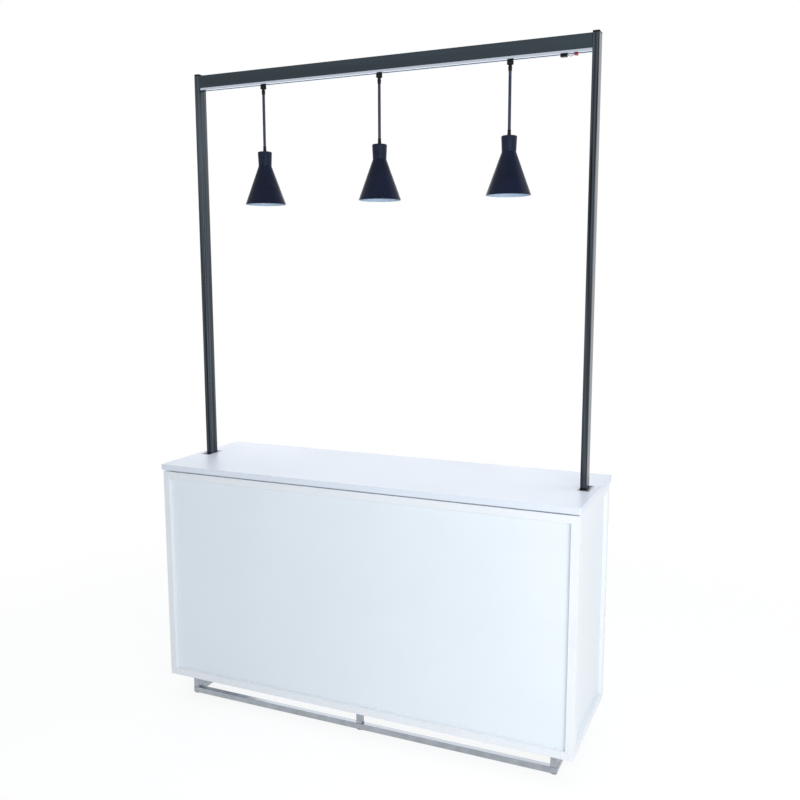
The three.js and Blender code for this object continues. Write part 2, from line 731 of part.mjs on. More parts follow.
const pocketRadius = BALL_RADIUS + BALL_PLAY;
const ballHeight = trackBottom - BALL_DROP;
const stemTop = -SLEEVE_LENGTH;
const glandTop = stemTop - STEM_LENGTH;
const neckTop = glandTop - GLAND_LENGTH;
const neckEnd = neckTop - NECK_HEIGHT;
const shadeTop = neckEnd - SEAT;
const rim = shadeTop - SHADE_HEIGHT;
const threadEnd = neckTop - THREAD_LENGTH;
const holderEnd = shadeTop - SHADE_WALL - SEAT - HOLDER_FLANGE - HOLDER_SKIRT;
const bulbTop = holderEnd + BULB_BASE_LENGTH;

function swivelCup() {
  const top = BALL_DROP - SEAT;
  const lipAngle = Math.acos(CUP_LIP / pocketRadius);
  const bowl = turned([
    [0, top],
    [CUP_RADIUS - CUP_CHAMFER, top],
    [CUP_RADIUS, top - CUP_CHAMFER],
    [CUP_RADIUS, -CUP_LIP + CUP_CHAMFER],
    [CUP_RADIUS - CUP_CHAMFER / 2, -CUP_LIP],
    ...arc(pocketRadius, lipAngle, Math.PI),
  ], SMALL_SIDES);
  const clampLow = clampBottom - ballHeight;
  const stud = rod(0, 0, CLAMP_STUD_RADIUS, [top - 1, clampLow + 1], SMALL_SIDES);
  const clamp = upright(0, 0, CLAMP_LENGTH, TRACK_WIDTH - 2 * TRACK_WALL - 2 * FIT,
    [clampLow, clampLow + CLAMP_THICKNESS]);
  return join([bowl, stud, clamp]);
}

function swivelBall() {
  const shape = new THREE.SphereGeometry(BALL_RADIUS, SMALL_SIDES, 2 * ARC_STEPS);
  shape.rotateX(Math.PI / 2);
  return toSolid(shape);
}

// Rod with a tapered sleeve that hugs the ball, and a tapered gland on the neck
function lampStem() {
  const hug = BALL_RADIUS + FIT;
  return turned([
    ...arc(hug, 0, Math.asin(SLEEVE_TOP_RADIUS / hug)),
    [SLEEVE_END_RADIUS, stemTop],
    [STEM_RADIUS, stemTop],
    [STEM_RADIUS, glandTop],
    [GLAND_TOP_RADIUS, glandTop],
    [GLAND_END_RADIUS, neckTop + SEAT],
    [THREAD_RADIUS, neckTop + SEAT],
    [THREAD_RADIUS, threadEnd],
    [0, threadEnd],
  ], SMALL_SIDES);
}

function lampNeck() {
  const hole = THREAD_RADIUS + FIT;
  return turned([
    [hole, neckTop],
    [NECK_TOP_RADIUS - NECK_ROUND, neckTop],
    [NECK_TOP_RADIUS - NECK_ROUND / 3, neckTop - NECK_ROUND / 3],
    [NECK_TOP_RADIUS, neckTop - NECK_ROUND],
    [NECK_END_RADIUS, neckEnd],
    [NECK_END_RADIUS - NECK_WALL, neckEnd],
    [NECK_TOP_RADIUS - NECK_WALL, neckTop - NECK_ROUND],
    [NECK_TOP_RADIUS - NECK_ROUND, neckTop - NECK_WALL],
    [hole, neckTop - NECK_WALL],
    [hole, neckTop],
  ], LAMP_SIDES);
}

// Ceramic body with a flange that the shade hangs on, bored from below for the bulb's base
function lampholder() {
  const top = neckTop - NECK_WALL - SEAT;
  const flangeTop = shadeTop - SHADE_WALL - SEAT;
  const stemBore = THREAD_RADIUS + FIT;
  const bulbBore = BULB_BASE_RADIUS + FIT;
  return turned([
    [0, threadEnd - SEAT],
    [stemBore, threadEnd - SEAT],
    [stemBore, top],
    [HOLDER_RADIUS, top],
    [HOLDER_RADIUS, flangeTop],
    [HOLDER_FLANGE_RADIUS, flangeTop],
    [HOLDER_FLANGE_RADIUS, flangeTop - HOLDER_FLANGE],
    [HOLDER_RADIUS, flangeTop - HOLDER_FLANGE],
    [HOLDER_RADIUS, holderEnd],
    [bulbBore, holderEnd],
    [bulbBore, bulbTop + SEAT],
    [0, bulbTop + SEAT],
  ], SMALL_SIDES);
}

function lampShade() {
  const hole = HOLDER_RADIUS + FIT;
  return turned([
    [hole, shadeTop],
    [NECK_END_RADIUS, shadeTop],
    [RIM_RADIUS - RIM_BEAD, rim + RIM_BEAD_HEIGHT],
    [RIM_RADIUS, rim + RIM_BEAD_HEIGHT - RIM_BEAD],
    [RIM_RADIUS, rim],
    [RIM_RADIUS - RIM_BEAD - SHADE_WALL, rim],
    [RIM_RADIUS - RIM_BEAD - SHADE_WALL, rim + RIM_BEAD_HEIGHT],
    [NECK_END_RADIUS - SHADE_WALL, shadeTop - SHADE_WALL],
    [hole, shadeTop - SHADE_WALL],
    [hole, shadeTop],
  ], LAMP_SIDES);
}

// Half of a bulb's section, from its screw base to the middle of its face, set in by a wall
function bulbSection(inset) {
  const baseEnd = bulbTop - inset;
  const shoulder = bulbTop - BULB_BASE_LENGTH - BULB_NECK_LENGTH;
  const edge = shoulder - BULB_FLARE;
  const base = BULB_BASE_RADIUS - inset;
  const section = [[BULB_VENT_RADIUS, baseEnd], [base, baseEnd], [base, shoulder]];
  for (let i = 1; i <= BULB_STEPS; i += 1) {
    const t = i / BULB_STEPS;
    const bulge = Math.sin(t * Math.PI / 2);
    const radius = THREE.MathUtils.lerp(BULB_BASE_RADIUS, BULB_RADIUS, bulge);
    section.push([radius - inset, THREE.MathUtils.lerp(shoulder, edge, t)]);
  }
  for (let i = 1; i < BULB_STEPS; i += 1) {
    const angle = (i / BULB_STEPS) * Math.PI / 2;
    section.push([(BULB_RADIUS - inset) * Math.cos(angle), edge - (BULB_FACE - inset) * Math.sin(angle)]);
  }
  section.push([0, edge - BULB_FACE + inset]);
  return section;
}

// Reflector bulb: a thin shell with a screw base, a neck, a flared body and a shallow domed face
function lampBulb() {
  const outside = bulbSection(0);
  const inside = bulbSection(BULB_WALL).reverse();
  return turned([...outside, ...inside, outside[0]], SMALL_SIDES);
}

function lamp(name, x) {
  const group = new THREE.Group();
  group.position.set(x, POST_BACK, ballHeight);
  group.add(
    piece(`swivel_cup_${name}`, swivelCup(), FINISHES.blackPlastic),
    piece(`swivel_ball_${name}`, swivelBall(), FINISHES.blackPlastic),
    piece(`lamp_stem_${name}`, lampStem(), FINISHES.stemPaint),
    piece(`lamp_neck_${name}`, lampNeck(), FINISHES.neckPaint),
    piece(`lampholder_${name}`, lampholder(), FINISHES.ceramic),
    piece(`lamp_shade_${name}`, lampShade(), FINISHES.navyPaint),
    piece(`lamp_bulb_${name}`, lampBulb(), FINISHES.bulbGlass),
  );
  return group;
}

const bar = new THREE.Group();
bar.add(base(), counter(), gantry());
for (const [name, side] of Object.entries(sides)) bar.add(wing(name, side));
for (const [name, x] of Object.entries(lampPlaces)) bar.add(lamp(name, x));

export default bar;
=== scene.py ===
"""Looks of a folding portable bar: white framed panels, a folding steel frame and a gantry of cone lamps.

Lengths are in metres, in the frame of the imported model: +X is to the right of someone who faces the front,
+Y points to the open back and +Z is up.
"""

from __future__ import annotations

import json
import logging
import math
from contextlib import contextmanager
from dataclasses import dataclass, field
from enum import Enum
from typing import Callable, Iterator

import bmesh
import bpy
from mathutils import Matrix, Vector

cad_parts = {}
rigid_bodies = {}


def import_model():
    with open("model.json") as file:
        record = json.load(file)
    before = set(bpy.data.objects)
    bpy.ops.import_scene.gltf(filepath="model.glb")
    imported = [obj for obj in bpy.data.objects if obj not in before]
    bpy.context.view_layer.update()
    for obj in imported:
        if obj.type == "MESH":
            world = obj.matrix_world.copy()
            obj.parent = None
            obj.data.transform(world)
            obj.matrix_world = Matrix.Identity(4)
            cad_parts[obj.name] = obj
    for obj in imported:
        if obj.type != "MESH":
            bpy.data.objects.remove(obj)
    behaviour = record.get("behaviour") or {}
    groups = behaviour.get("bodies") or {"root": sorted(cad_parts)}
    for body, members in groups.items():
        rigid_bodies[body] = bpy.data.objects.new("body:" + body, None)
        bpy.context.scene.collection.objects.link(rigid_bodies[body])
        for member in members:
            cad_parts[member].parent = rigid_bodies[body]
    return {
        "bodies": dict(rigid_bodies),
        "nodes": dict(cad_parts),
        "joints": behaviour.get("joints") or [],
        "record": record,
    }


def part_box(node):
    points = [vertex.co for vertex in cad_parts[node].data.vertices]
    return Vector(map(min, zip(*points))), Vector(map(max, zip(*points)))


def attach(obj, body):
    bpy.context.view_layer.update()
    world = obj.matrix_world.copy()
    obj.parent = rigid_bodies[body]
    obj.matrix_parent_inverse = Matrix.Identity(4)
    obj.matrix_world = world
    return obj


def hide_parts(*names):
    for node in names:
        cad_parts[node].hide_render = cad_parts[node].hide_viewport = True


LOG = logging.getLogger("bar")
MM = 0.001

# Points nearer than this are merged, and a direction is along an axis from this cosine on
MERGE = 1e-6
ALIGNED = 0.99

# Small easing of edges and grooves
EASE = 0.4 * MM

# Octaves of a finish's slow and fine noise, and the part of a noise's range that is stretched
SLOW_DETAIL = 4.0
FINE_DETAIL = 2.0
NOISE_LOW = 0.3
NOISE_HIGH = 0.7

# Colour sockets of a mix node
MIX_COLOURS = (6, 7)
MIX_RESULT = 2

Object = bpy.types.Object
Material = bpy.types.Material
Point = tuple[float, float]
Place = tuple[float, float, float]
Colour = tuple[float, float, float]


class Axis(Enum):
    """The three directions of the frame."""

    X = 0
    Y = 1
    Z = 2

    @property
    def unit(self) -> Vector:
        """A vector of length one along the axis."""
        return Vector([1.0 if i == self.value else 0.0 for i in range(3)])


class Side(Enum):
    """The two ends of the bar, with the sign of their place on X."""

    LEFT = -1
    RIGHT = 1

    @property
    def word(self) -> str:
        """The side's word in the names of nodes."""
        return self.name.lower()


class LampPlace(Enum):
    """The three lamps, by the word in the names of their nodes."""

    LEFT = "left"
    CENTRE = "centre"
    RIGHT = "right"


class Grain(Enum):
    """How a finish's texture is drawn out: its scale along X, Y and Z."""

    EVEN = (1.0, 1.0, 1.0)
    ALONG_X = (0.015, 1.0, 1.0)
    ALONG_Z = (1.0, 1.0, 0.015)


# Finishes


@dataclass(frozen=True)
class Finish:
    """A surface whose colour, gloss and relief wander a little over Object coordinates.

    Attributes:
        name: Name of the finish.
        colour: Middle of the base colour, linear.
        roughness: Middle of the roughness.
        metallic: 1 for bare metal.
        drift: Share by which the colour wanders about its middle.
        drift_scale: How often the colour wanders, per metre.
        drift_grain: Direction that the wandering is drawn out along.
        gloss_drift: How far the roughness wanders about its middle.
        grain: Direction that the fine relief is drawn out along.
        grain_scale: How fine the relief is, per metre.
        relief: Height of the relief.
        strength: How strongly the relief shades the surface.
        coat: Weight of a clear coat.
        coat_roughness: Roughness of that coat.
        specular: Specular level of the surface under the coat.
    """

    name: str
    colour: Colour
    roughness: float
    metallic: float = 0.0
    drift: float = 0.03
    drift_scale: float = 5.0
    drift_grain: Grain = Grain.EVEN
    gloss_drift: float = 0.05
    grain: Grain = Grain.EVEN
    grain_scale: float = 700.0
    relief: float = 0.02 * MM
    strength: float = 0.6
    coat: float = 0.0
    coat_roughness: float = 0.08
    specular: float = 0.5

    def material(self) -> Material:
        """Makes the material, or finds the one made before.

        Returns:
            The material named after this finish.
        """
        title = f"{self.name}_finish"
        made = bpy.data.materials.get(title)
        if made is None:
            made = bpy.data.materials.new(title)
            made.use_nodes = True
            self.dress(made.node_tree, made.node_tree.nodes["Principled BSDF"])
        return made

    def dress(self, tree: bpy.types.NodeTree, shader: bpy.types.Node) -> None:
        """Sets the shader's plain sockets and links colour, roughness and relief to noise.

        Args:
            tree: Node tree of the material.
            shader: Its surface shader.
        """
        shader.inputs["Metallic"].default_value = self.metallic
        shader.inputs["Coat Weight"].default_value = self.coat
        shader.inputs["Coat Roughness"].default_value = self.coat_roughness
        shader.inputs["Specular IOR Level"].default_value = self.specular
        slow = self.noise(tree, self.drift_grain, self.drift_scale, SLOW_DETAIL)
        fine = self.noise(tree, self.grain, self.grain_scale, FINE_DETAIL)
        self.link_colour(tree, slow, shader)
        self.link_gloss(tree, slow, shader)
        bump = tree.nodes.new("ShaderNodeBump")
        bump.inputs["Strength"].default_value = self.strength
        bump.inputs["Distance"].default_value = self.relief
        tree.links.new(fine.outputs["Fac"], bump.inputs["Height"])
        tree.links.new(bump.outputs["Normal"], shader.inputs["Normal"])

    @staticmethod
    def noise(tree: bpy.types.NodeTree, grain: Grain, scale: float, detail: float) -> bpy.types.Node:
        """Adds a noise texture on Object coordinates.

        Args:
            tree: Node tree of the material.
            grain: Direction that the noise is drawn out along.
            scale: How fine it is, per metre.
            detail: Octaves of finer noise.

        Returns:
            The noise node.
        """
        place = tree.nodes.new("ShaderNodeTexCoord")
        stretch = tree.nodes.new("ShaderNodeMapping")
        stretch.inputs["Scale"].default_value = grain.value
        noise = tree.nodes.new("ShaderNodeTexNoise")
        noise.inputs["Scale"].default_value = scale
        noise.inputs["Detail"].default_value = detail
        tree.links.new(place.outputs["Object"], stretch.inputs["Vector"])
        tree.links.new(stretch.outputs["Vector"], noise.inputs["Vector"])
        return noise

    def link_colour(self, tree: bpy.types.NodeTree, noise: bpy.types.Node, shader: bpy.types.Node) -> None:
        """Lets the base colour wander between a darker and a lighter tone.

        Args:
            tree: Node tree of the material.
            noise: The noise node that it follows.
            shader: The surface shader.
        """
        mix = tree.nodes.new("ShaderNodeMix")
        mix.data_type = "RGBA"
        for socket, sign in zip(MIX_COLOURS, (-1, 1)):
            tone = [min(1.0, part * (1 + sign * self.drift)) for part in self.colour]
            mix.inputs[socket].default_value = (*tone, 1.0)
        tree.links.new(self.spread(tree, noise, 0.0, 1.0), mix.inputs[0])
        tree.links.new(mix.outputs[MIX_RESULT], shader.inputs["Base Color"])

    def link_gloss(self, tree: bpy.types.NodeTree, noise: bpy.types.Node, shader: bpy.types.Node) -> None:
        """Lets the roughness wander about its middle.

        Args:
            tree: Node tree of the material.
            noise: The noise node that it follows.
            shader: The surface shader.
        """
        low = max(0.02, self.roughness - self.gloss_drift)
        high = min(1.0, self.roughness + self.gloss_drift)
        tree.links.new(self.spread(tree, noise, low, high), shader.inputs["Roughness"])

    @staticmethod
    def spread(tree: bpy.types.NodeTree, noise: bpy.types.Node, low: float,
               high: float) -> bpy.types.NodeSocket:
        """Stretches the middle of a noise over a range.

        Args:
            tree: Node tree of the material.
            noise: The noise node.
            low: Value where the noise is low.
            high: Value where the noise is high.

        Returns:
            The socket with the stretched value.
        """
        remap = tree.nodes.new("ShaderNodeMapRange")
        remap.inputs["From Min"].default_value = NOISE_LOW
        remap.inputs["From Max"].default_value = NOISE_HIGH
        remap.inputs["To Min"].default_value = low
        remap.inputs["To Max"].default_value = high
        tree.links.new(noise.outputs["Fac"], remap.inputs["Value"])
        return remap.outputs["Result"]


@dataclass(frozen=True)
class FrostedGlass(Finish):
    """Glass with a frosted face that lets soft light through.

    Attributes:
        transmission: Weight of the light that passes through.
        index: Index of refraction.
    """

    transmission: float = 0.35
    index: float = 1.5

    def dress(self, tree: bpy.types.NodeTree, shader: bpy.types.Node) -> None:
        """Adds transmission to the common finish.

        Args:
            tree: Node tree of the material.
            shader: Its surface shader.
        """
        super().dress(tree, shader)
        shader.inputs["Transmission Weight"].default_value = self.transmission
        shader.inputs["IOR"].default_value = self.index


WHITE_LACQUER = Finish("white_lacquer", (0.87, 0.9, 0.935), 0.32, drift=0.012, relief=0.012 * MM,
                       grain_scale=420.0, coat=0.2)
WHITE_BOARD = Finish("white_board", (0.845, 0.9, 0.945), 0.36, drift=0.015, drift_scale=2.2,
                     relief=0.015 * MM, grain_scale=300.0, coat=0.1)
WHITE_LAMINATE = Finish("white_laminate", (0.785, 0.835, 0.93), 0.42, drift=0.012, drift_scale=3.0,
                        relief=0.03 * MM, grain_scale=900.0)
SATIN_STEEL = Finish("satin_steel", (0.38, 0.41, 0.45), 0.36, metallic=1.0, drift=0.12, drift_scale=24.0,
                     gloss_drift=0.08, grain_scale=1600.0, relief=0.02 * MM)
WELD_STEEL = Finish("weld_steel", (0.2, 0.205, 0.215), 0.48, metallic=1.0, drift=0.25, drift_scale=160.0,
                    grain_scale=420.0, relief=0.3 * MM)
BRIGHT_STEEL = Finish("bright_steel", (0.42, 0.435, 0.455), 0.24, metallic=1.0, drift=0.08, drift_scale=40.0,
                      grain_scale=2200.0, relief=0.01 * MM)
RING_STEEL = Finish("ring_steel", (0.34, 0.352, 0.365), 0.38, metallic=1.0, drift=0.15, drift_scale=60.0,
                    grain_scale=1800.0, relief=0.015 * MM)
# Near-black steel for the hinges, darker than bare steel: painted shade for the dark lower corners of the
# frame
SHADED_HINGE_STEEL = Finish("burnished_steel", (0.022, 0.023, 0.026), 0.4, metallic=1.0, drift=0.3,
                         drift_scale=50.0, gloss_drift=0.08, grain_scale=1400.0, relief=0.015 * MM)
# Dark polished steel for the posts. Its strong lengthwise streaks of lighter and darker colour are partly the
# polish's own lines and partly painted reflection streaks
DARK_CHROME = Finish("dark_chrome", (0.05, 0.061, 0.073), 0.15, metallic=1.0, drift=0.88, drift_scale=95.0,
                     drift_grain=Grain.ALONG_Z, gloss_drift=0.06, grain=Grain.ALONG_Z, grain_scale=1500.0,
                     relief=0.008 * MM)
SLATE_PAINT = Finish("slate_paint", (0.036, 0.049, 0.06), 0.46, drift=0.16, drift_scale=30.0,
                     drift_grain=Grain.ALONG_X, grain_scale=1100.0, relief=0.02 * MM, specular=0.18)
TRACK_ALUMINIUM = Finish("track_aluminium", (0.5, 0.555, 0.635), 0.32, metallic=1.0, drift=0.1,
                         drift_scale=60.0, drift_grain=Grain.ALONG_X, grain=Grain.ALONG_X, grain_scale=1800.0,
                         relief=0.01 * MM)
BLACK_PLASTIC = Finish("black_plastic", (0.005, 0.0055, 0.007), 0.5, drift=0.2, drift_scale=60.0,
                       grain_scale=2600.0, relief=0.02 * MM, specular=0.2)
GREY_PLASTIC = Finish("grey_plastic", (0.15, 0.155, 0.165), 0.5, drift=0.12, drift_scale=60.0,
                      grain_scale=2600.0, relief=0.02 * MM, specular=0.2)
RED_PLASTIC = Finish("red_plastic", (0.36, 0.018, 0.03), 0.4, drift=0.1, drift_scale=120.0,
                     grain_scale=2600.0, relief=0.015 * MM, specular=0.3)
LEAD_SHEATH = Finish("lead_sheath", (0.4, 0.42, 0.45), 0.5, drift=0.08, drift_scale=160.0, grain_scale=3000.0)
STEM_PAINT = Finish("stem_paint", (0.032, 0.041, 0.078), 0.4, drift=0.18, drift_scale=40.0,
                    grain_scale=1800.0, relief=0.01 * MM, specular=0.25)
NECK_PAINT = Finish("neck_paint", (0.016, 0.022, 0.044), 0.36, drift=0.2, drift_scale=40.0,
                    grain_scale=1800.0, relief=0.012 * MM, specular=0.08)
SHADE_PAINT = Finish("shade_paint", (0.0055, 0.0095, 0.028), 0.35, drift=0.2, drift_scale=18.0,
                     grain_scale=1500.0, relief=0.025 * MM, specular=0.1)
SHADE_ENAMEL = Finish("shade_enamel", (0.62, 0.75, 0.9), 0.3, drift=0.02, drift_scale=20.0, grain_scale=800.0,
                      relief=0.015 * MM, coat=0.3)
HOLDER_CERAMIC = Finish("holder_ceramic", (0.78, 0.76, 0.72), 0.25, drift=0.03, drift_scale=40.0, coat=0.4)
BULB_GLASS = FrostedGlass("bulb_glass", (0.88, 0.87, 0.83), 0.35, drift=0.02, drift_scale=30.0)
BULB_MIRROR = Finish("bulb_mirror", (0.78, 0.78, 0.77), 0.12, metallic=1.0, drift=0.03, drift_scale=40.0)


# Modelling bench


@dataclass
class Box:
    """A space between two corners.

    Attributes:
        low: Lowest corner.
        high: Highest corner.
    """

    low: Vector
    high: Vector

    @classmethod
    def of(cls, node: str) -> Box:
        """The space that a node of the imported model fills."""
        return cls(*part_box(node))

    @classmethod
    def about(cls, centre: Vector, size: tuple[float, float, float]) -> Box:
        """A space of a size about its middle."""
        half = Vector(size) / 2
        return cls(centre - half, centre + half)

    @property
    def centre(self) -> Vector:
        """The middle of the space."""
        return (self.low + self.high) / 2

    @property
    def size(self) -> Vector:
        """The lengths of the space along the three axes."""
        return self.high - self.low

    def span(self, axis: Axis, low: float, high: float) -> Box:
        """The same space between two other values on one axis.

        Args:
            axis: The axis whose values change.
            low: New lower value.
            high: New higher value.

        Returns:
            A new space.
        """
        changed = Box(self.low.copy(), self.high.copy())
        changed.low[axis.value] = low
        changed.high[axis.value] = high
        return changed

    def grown(self, by: float) -> Box:
        """The space with its faces moved out, or in where the amount is less than nothing."""
        return Box(self.low - Vector((by, by, by)), self.high + Vector((by, by, by)))


class Bench:
    """Modelling moves, made with Blender's own operators on one object at a time."""

    @staticmethod
    def clear() -> None:
        """Leaves edit mode and deselects everything."""
        if bpy.context.mode != "OBJECT":
            bpy.ops.object.mode_set(mode="OBJECT")
        bpy.ops.object.select_all(action="DESELECT")

    @staticmethod
    def pick(piece: Object) -> None:
        """Makes one object the only selected one.

        Args:
            piece: The object.
        """
        Bench.clear()
        piece.select_set(True)
        bpy.context.view_layer.objects.active = piece

    @staticmethod
    @contextmanager
    def editing(piece: Object, mode: str = "FACE") -> Iterator[bmesh.types.BMesh]:
        """Opens a piece in edit mode with nothing selected.

        Args:
            piece: The object to edit.
            mode: What is selected: VERT, EDGE or FACE.

        Yields:
            The mesh that is being edited.
        """
        Bench.pick(piece)
        bpy.ops.object.mode_set(mode="EDIT")
        bpy.ops.mesh.select_mode(type=mode)
        bpy.ops.mesh.select_all(action="DESELECT")
        yield bmesh.from_edit_mesh(piece.data)
        bpy.ops.object.mode_set(mode="OBJECT")

    @staticmethod
    def block(space: Box, edge: float = 0.0, along: Axis | None = None, segments: int = 3) -> Object:
        """Adds a box and rounds its edges.

        Args:
            space: Where the box is.
            edge: Width of the rounding, or nothing.
            along: Axis whose edges are rounded; all edges where it is left out.
            segments: Faces across a rounding.

        Returns:
            The new object.
        """
        Bench.clear()
        bpy.ops.mesh.primitive_cube_add(size=1.0, location=space.centre)
        piece = bpy.context.active_object
        piece.scale = space.size
        bpy.ops.object.transform_apply(location=True, rotation=True, scale=True)
        if edge > 0:
            Bench.round_edges(piece, edge, lambda way: along is None or abs(way.dot(along.unit)) > ALIGNED,
                              segments)
        return piece

    @staticmethod
    def round_edges(piece: Object, width: float, wanted: Callable[[Vector], bool], segments: int = 3) -> None:
        """Bevels the edges whose direction is wanted.

        Args:
            piece: The object to change.
            width: Width of the bevel.
            wanted: Says of an edge's direction whether the edge is bevelled.
            segments: Faces across the bevel.
        """
        with Bench.editing(piece, "EDGE") as mesh:
            for edge in mesh.edges:
                way = (edge.verts[1].co - edge.verts[0].co).normalized()
                edge.select_set(wanted(way))
            bmesh.update_edit_mesh(piece.data)
            bpy.ops.mesh.bevel(offset=width, segments=segments, affect="EDGES", clamp_overlap=True)

    @staticmethod
    def ring(space: Box, through: Axis, border: float, edge: float) -> Object:
        """Adds a rectangular ring: a box whose two faces are inset and bridged.

        Args:
            space: Outer space of the ring.
            through: Axis that the opening runs along.
            border: Width of the ring's four sides.
            edge: Width of the rounding along all edges.

        Returns:
            The new object.
        """
        piece = Bench.block(space)
        with Bench.editing(piece) as mesh:
            for face in mesh.faces:
                face.select_set(abs(face.normal.dot(through.unit)) > ALIGNED)
            bmesh.update_edit_mesh(piece.data)
            bpy.ops.mesh.inset(thickness=border)
            bpy.ops.mesh.bridge_edge_loops()
        Bench.round_edges(piece, edge, lambda way: max(abs(part) for part in way) > ALIGNED)
        return piece

    @staticmethod
    def hollow(piece: Object, toward: Vector, wall: float, depth: float) -> None:
        """Sinks a pocket into the large face that looks a given way.

        Args:
            piece: The object to change.
            toward: Direction that the face looks.
            wall: Wall left round the pocket.
            depth: Depth of the pocket.
        """
        with Bench.editing(piece) as mesh:
            faces = [face for face in mesh.faces if face.normal.dot(toward) > ALIGNED]
            max(faces, key=lambda face: face.calc_area()).select_set(True)
            bmesh.update_edit_mesh(piece.data)
            bpy.ops.mesh.inset(thickness=wall)
            bpy.ops.mesh.extrude_region_move(TRANSFORM_OT_translate={"value": -toward * depth})

    @staticmethod
    def revolve(profile: list[Point], centre: Vector, steps: int = 64) -> Object:
        """Draws a half section point by point and spins it about an upright axis.

        Args:
            profile: Radius and height of each point, in order along the section.
            centre: Point on the axis that the heights are counted from.
            steps: Faces round the axis.

        Returns:
            The new object.
        """
        Bench.clear()
        start = centre + Vector((profile[0][0], 0.0, profile[0][1]))
        bpy.ops.mesh.primitive_plane_add(size=MM, location=start)
        piece = bpy.context.active_object
        bpy.ops.object.transform_apply(location=True, rotation=True, scale=True)
        with Bench.editing(piece, "VERT"):
            bpy.ops.mesh.select_all(action="SELECT")
            bpy.ops.mesh.merge(type="CENTER")
            for (r0, z0), (r1, z1) in zip(profile, profile[1:]):
                bpy.ops.mesh.extrude_vertices_move(TRANSFORM_OT_translate={"value": (r1 - r0, 0.0, z1 - z0)})
            bpy.ops.mesh.select_all(action="SELECT")
            bpy.ops.mesh.spin(steps=steps, angle=math.tau, center=centre, axis=(0.0, 0.0, 1.0))
            bpy.ops.mesh.select_all(action="SELECT")
            bpy.ops.mesh.remove_doubles(threshold=MERGE)
            bpy.ops.mesh.normals_make_consistent(inside=False)
        return piece

    @staticmethod
    def rod(space: Box, steps: int = 28) -> Object:
        """Adds an upright round bar that fills a space.

        Args:
            space: Where the bar is; its width is the bar's diameter.
            steps: Faces round the bar.

        Returns:
            The new object.
        """
        radius, low, high = space.size.x / 2, space.low.z, space.high.z
        foot = Vector((space.centre.x, space.centre.y, 0.0))
        return Bench.revolve([(0.0, low), (radius, low), (radius, high), (0.0, high)], foot, steps)

    @staticmethod
    def cut(piece: Object, *tools: Object) -> None:
        """Cuts other objects out of a piece and removes them.

        Args:
            piece: The object to change.
            tools: The objects to cut out of it.
        """
        for tool in tools:
            Bench.pick(piece)
            modifier = piece.modifiers.new("cut", "BOOLEAN")
            modifier.operation = "DIFFERENCE"
            modifier.solver = "EXACT"
            modifier.object = tool
            bpy.ops.object.modifier_apply(modifier=modifier.name)
            bpy.data.objects.remove(tool)

    @staticmethod
    def join(pieces: list[Object]) -> Object:
        """Joins objects into the first of them.

        Args:
            pieces: The objects.

        Returns:
            The first object.
        """
        Bench.clear()
        for piece in pieces:
            piece.select_set(True)
        bpy.context.view_layer.objects.active = pieces[0]
        bpy.ops.object.join()
        return pieces[0]

    @staticmethod
    def copy(piece: Object, move: Matrix) -> Object:
        """Copies a piece with a mesh of its own and moves the copy's mesh.

        Args:
            piece: The object to copy.
            move: Transform of the copy. Where it mirrors, the faces are turned back outwards.

        Returns:
            The copy.
        """
        twin = piece.copy()
        twin.data = piece.data.copy()
        bpy.context.scene.collection.objects.link(twin)
        twin.data.transform(move)
        if move.determinant() < 0:
            twin.data.flip_normals()
        return twin

    @staticmethod
    def paint(piece: Object, finish: Finish,
              wanted: Callable[[Vector, Vector], bool] | None = None) -> Object:
        """Gives a finish to a piece, or to those of its faces that are wanted.

        Args:
            piece: The object to paint.
            finish: The finish.
            wanted: Says of a face's middle and normal whether it is painted; all faces where left out.

        Returns:
            The piece.
        """
        if wanted is None:
            piece.data.materials.clear()
        piece.data.materials.append(finish.material())
        last = len(piece.data.materials) - 1
        for face in piece.data.polygons:
            if wanted is None or wanted(face.center, face.normal):
                face.material_index = last
        return piece

    @staticmethod
    def soften(piece: Object, angle: float = 35.0, weighted: bool = True) -> Object:
        """Shades a piece smoothly up to an angle between faces.

        Args:
            piece: The object to shade.
            angle: Sharpest smooth angle, in degrees.
            weighted: Whether large flat faces keep their own normals.

        Returns:
            The piece.
        """
        Bench.pick(piece)
        bpy.ops.object.shade_smooth_by_angle(angle=math.radians(angle))
        if weighted:
            modifier = piece.modifiers.new("flats", "WEIGHTED_NORMAL")
            modifier.keep_sharp = True
            bpy.ops.object.modifier_apply(modifier=modifier.name)
        return piece


def arc(centre: Point, radius: float, start: float, end: float, steps: int = 8) -> list[Point]:
    """Points along an arc of a half section.

    Args:
        centre: Radius and height of the arc's middle.
        radius: Radius of the arc.
        start: First angle in degrees, from straight out, turning up.
        end: Last angle in degrees.
        steps: Stretches along the arc.

    Returns:
        Points from the first angle to the last.
    """
    angles = [math.radians(start + (end - start) * i / steps) for i in range(steps + 1)]
    return [(centre[0] + radius * math.cos(a), centre[1] + radius * math.sin(a)) for a in angles]


def groove(radius: float, top: float, depth: float, flat: float) -> list[Point]:
    """Points of a shallow groove in a half section.

    Args:
        radius: Radius of the section beside the groove.
        top: Height of the groove's upper edge.
        depth: Depth of the groove.
        flat: Height of its floor.

    Returns:
        Four points, from the upper edge down.
    """
    floor = radius - depth
    return [(radius, top), (floor, top - EASE), (floor, top - EASE - flat), (radius, top - 2 * EASE - flat)]


MIRROR = Matrix.Scale(-1.0, 4, Axis.X.unit)


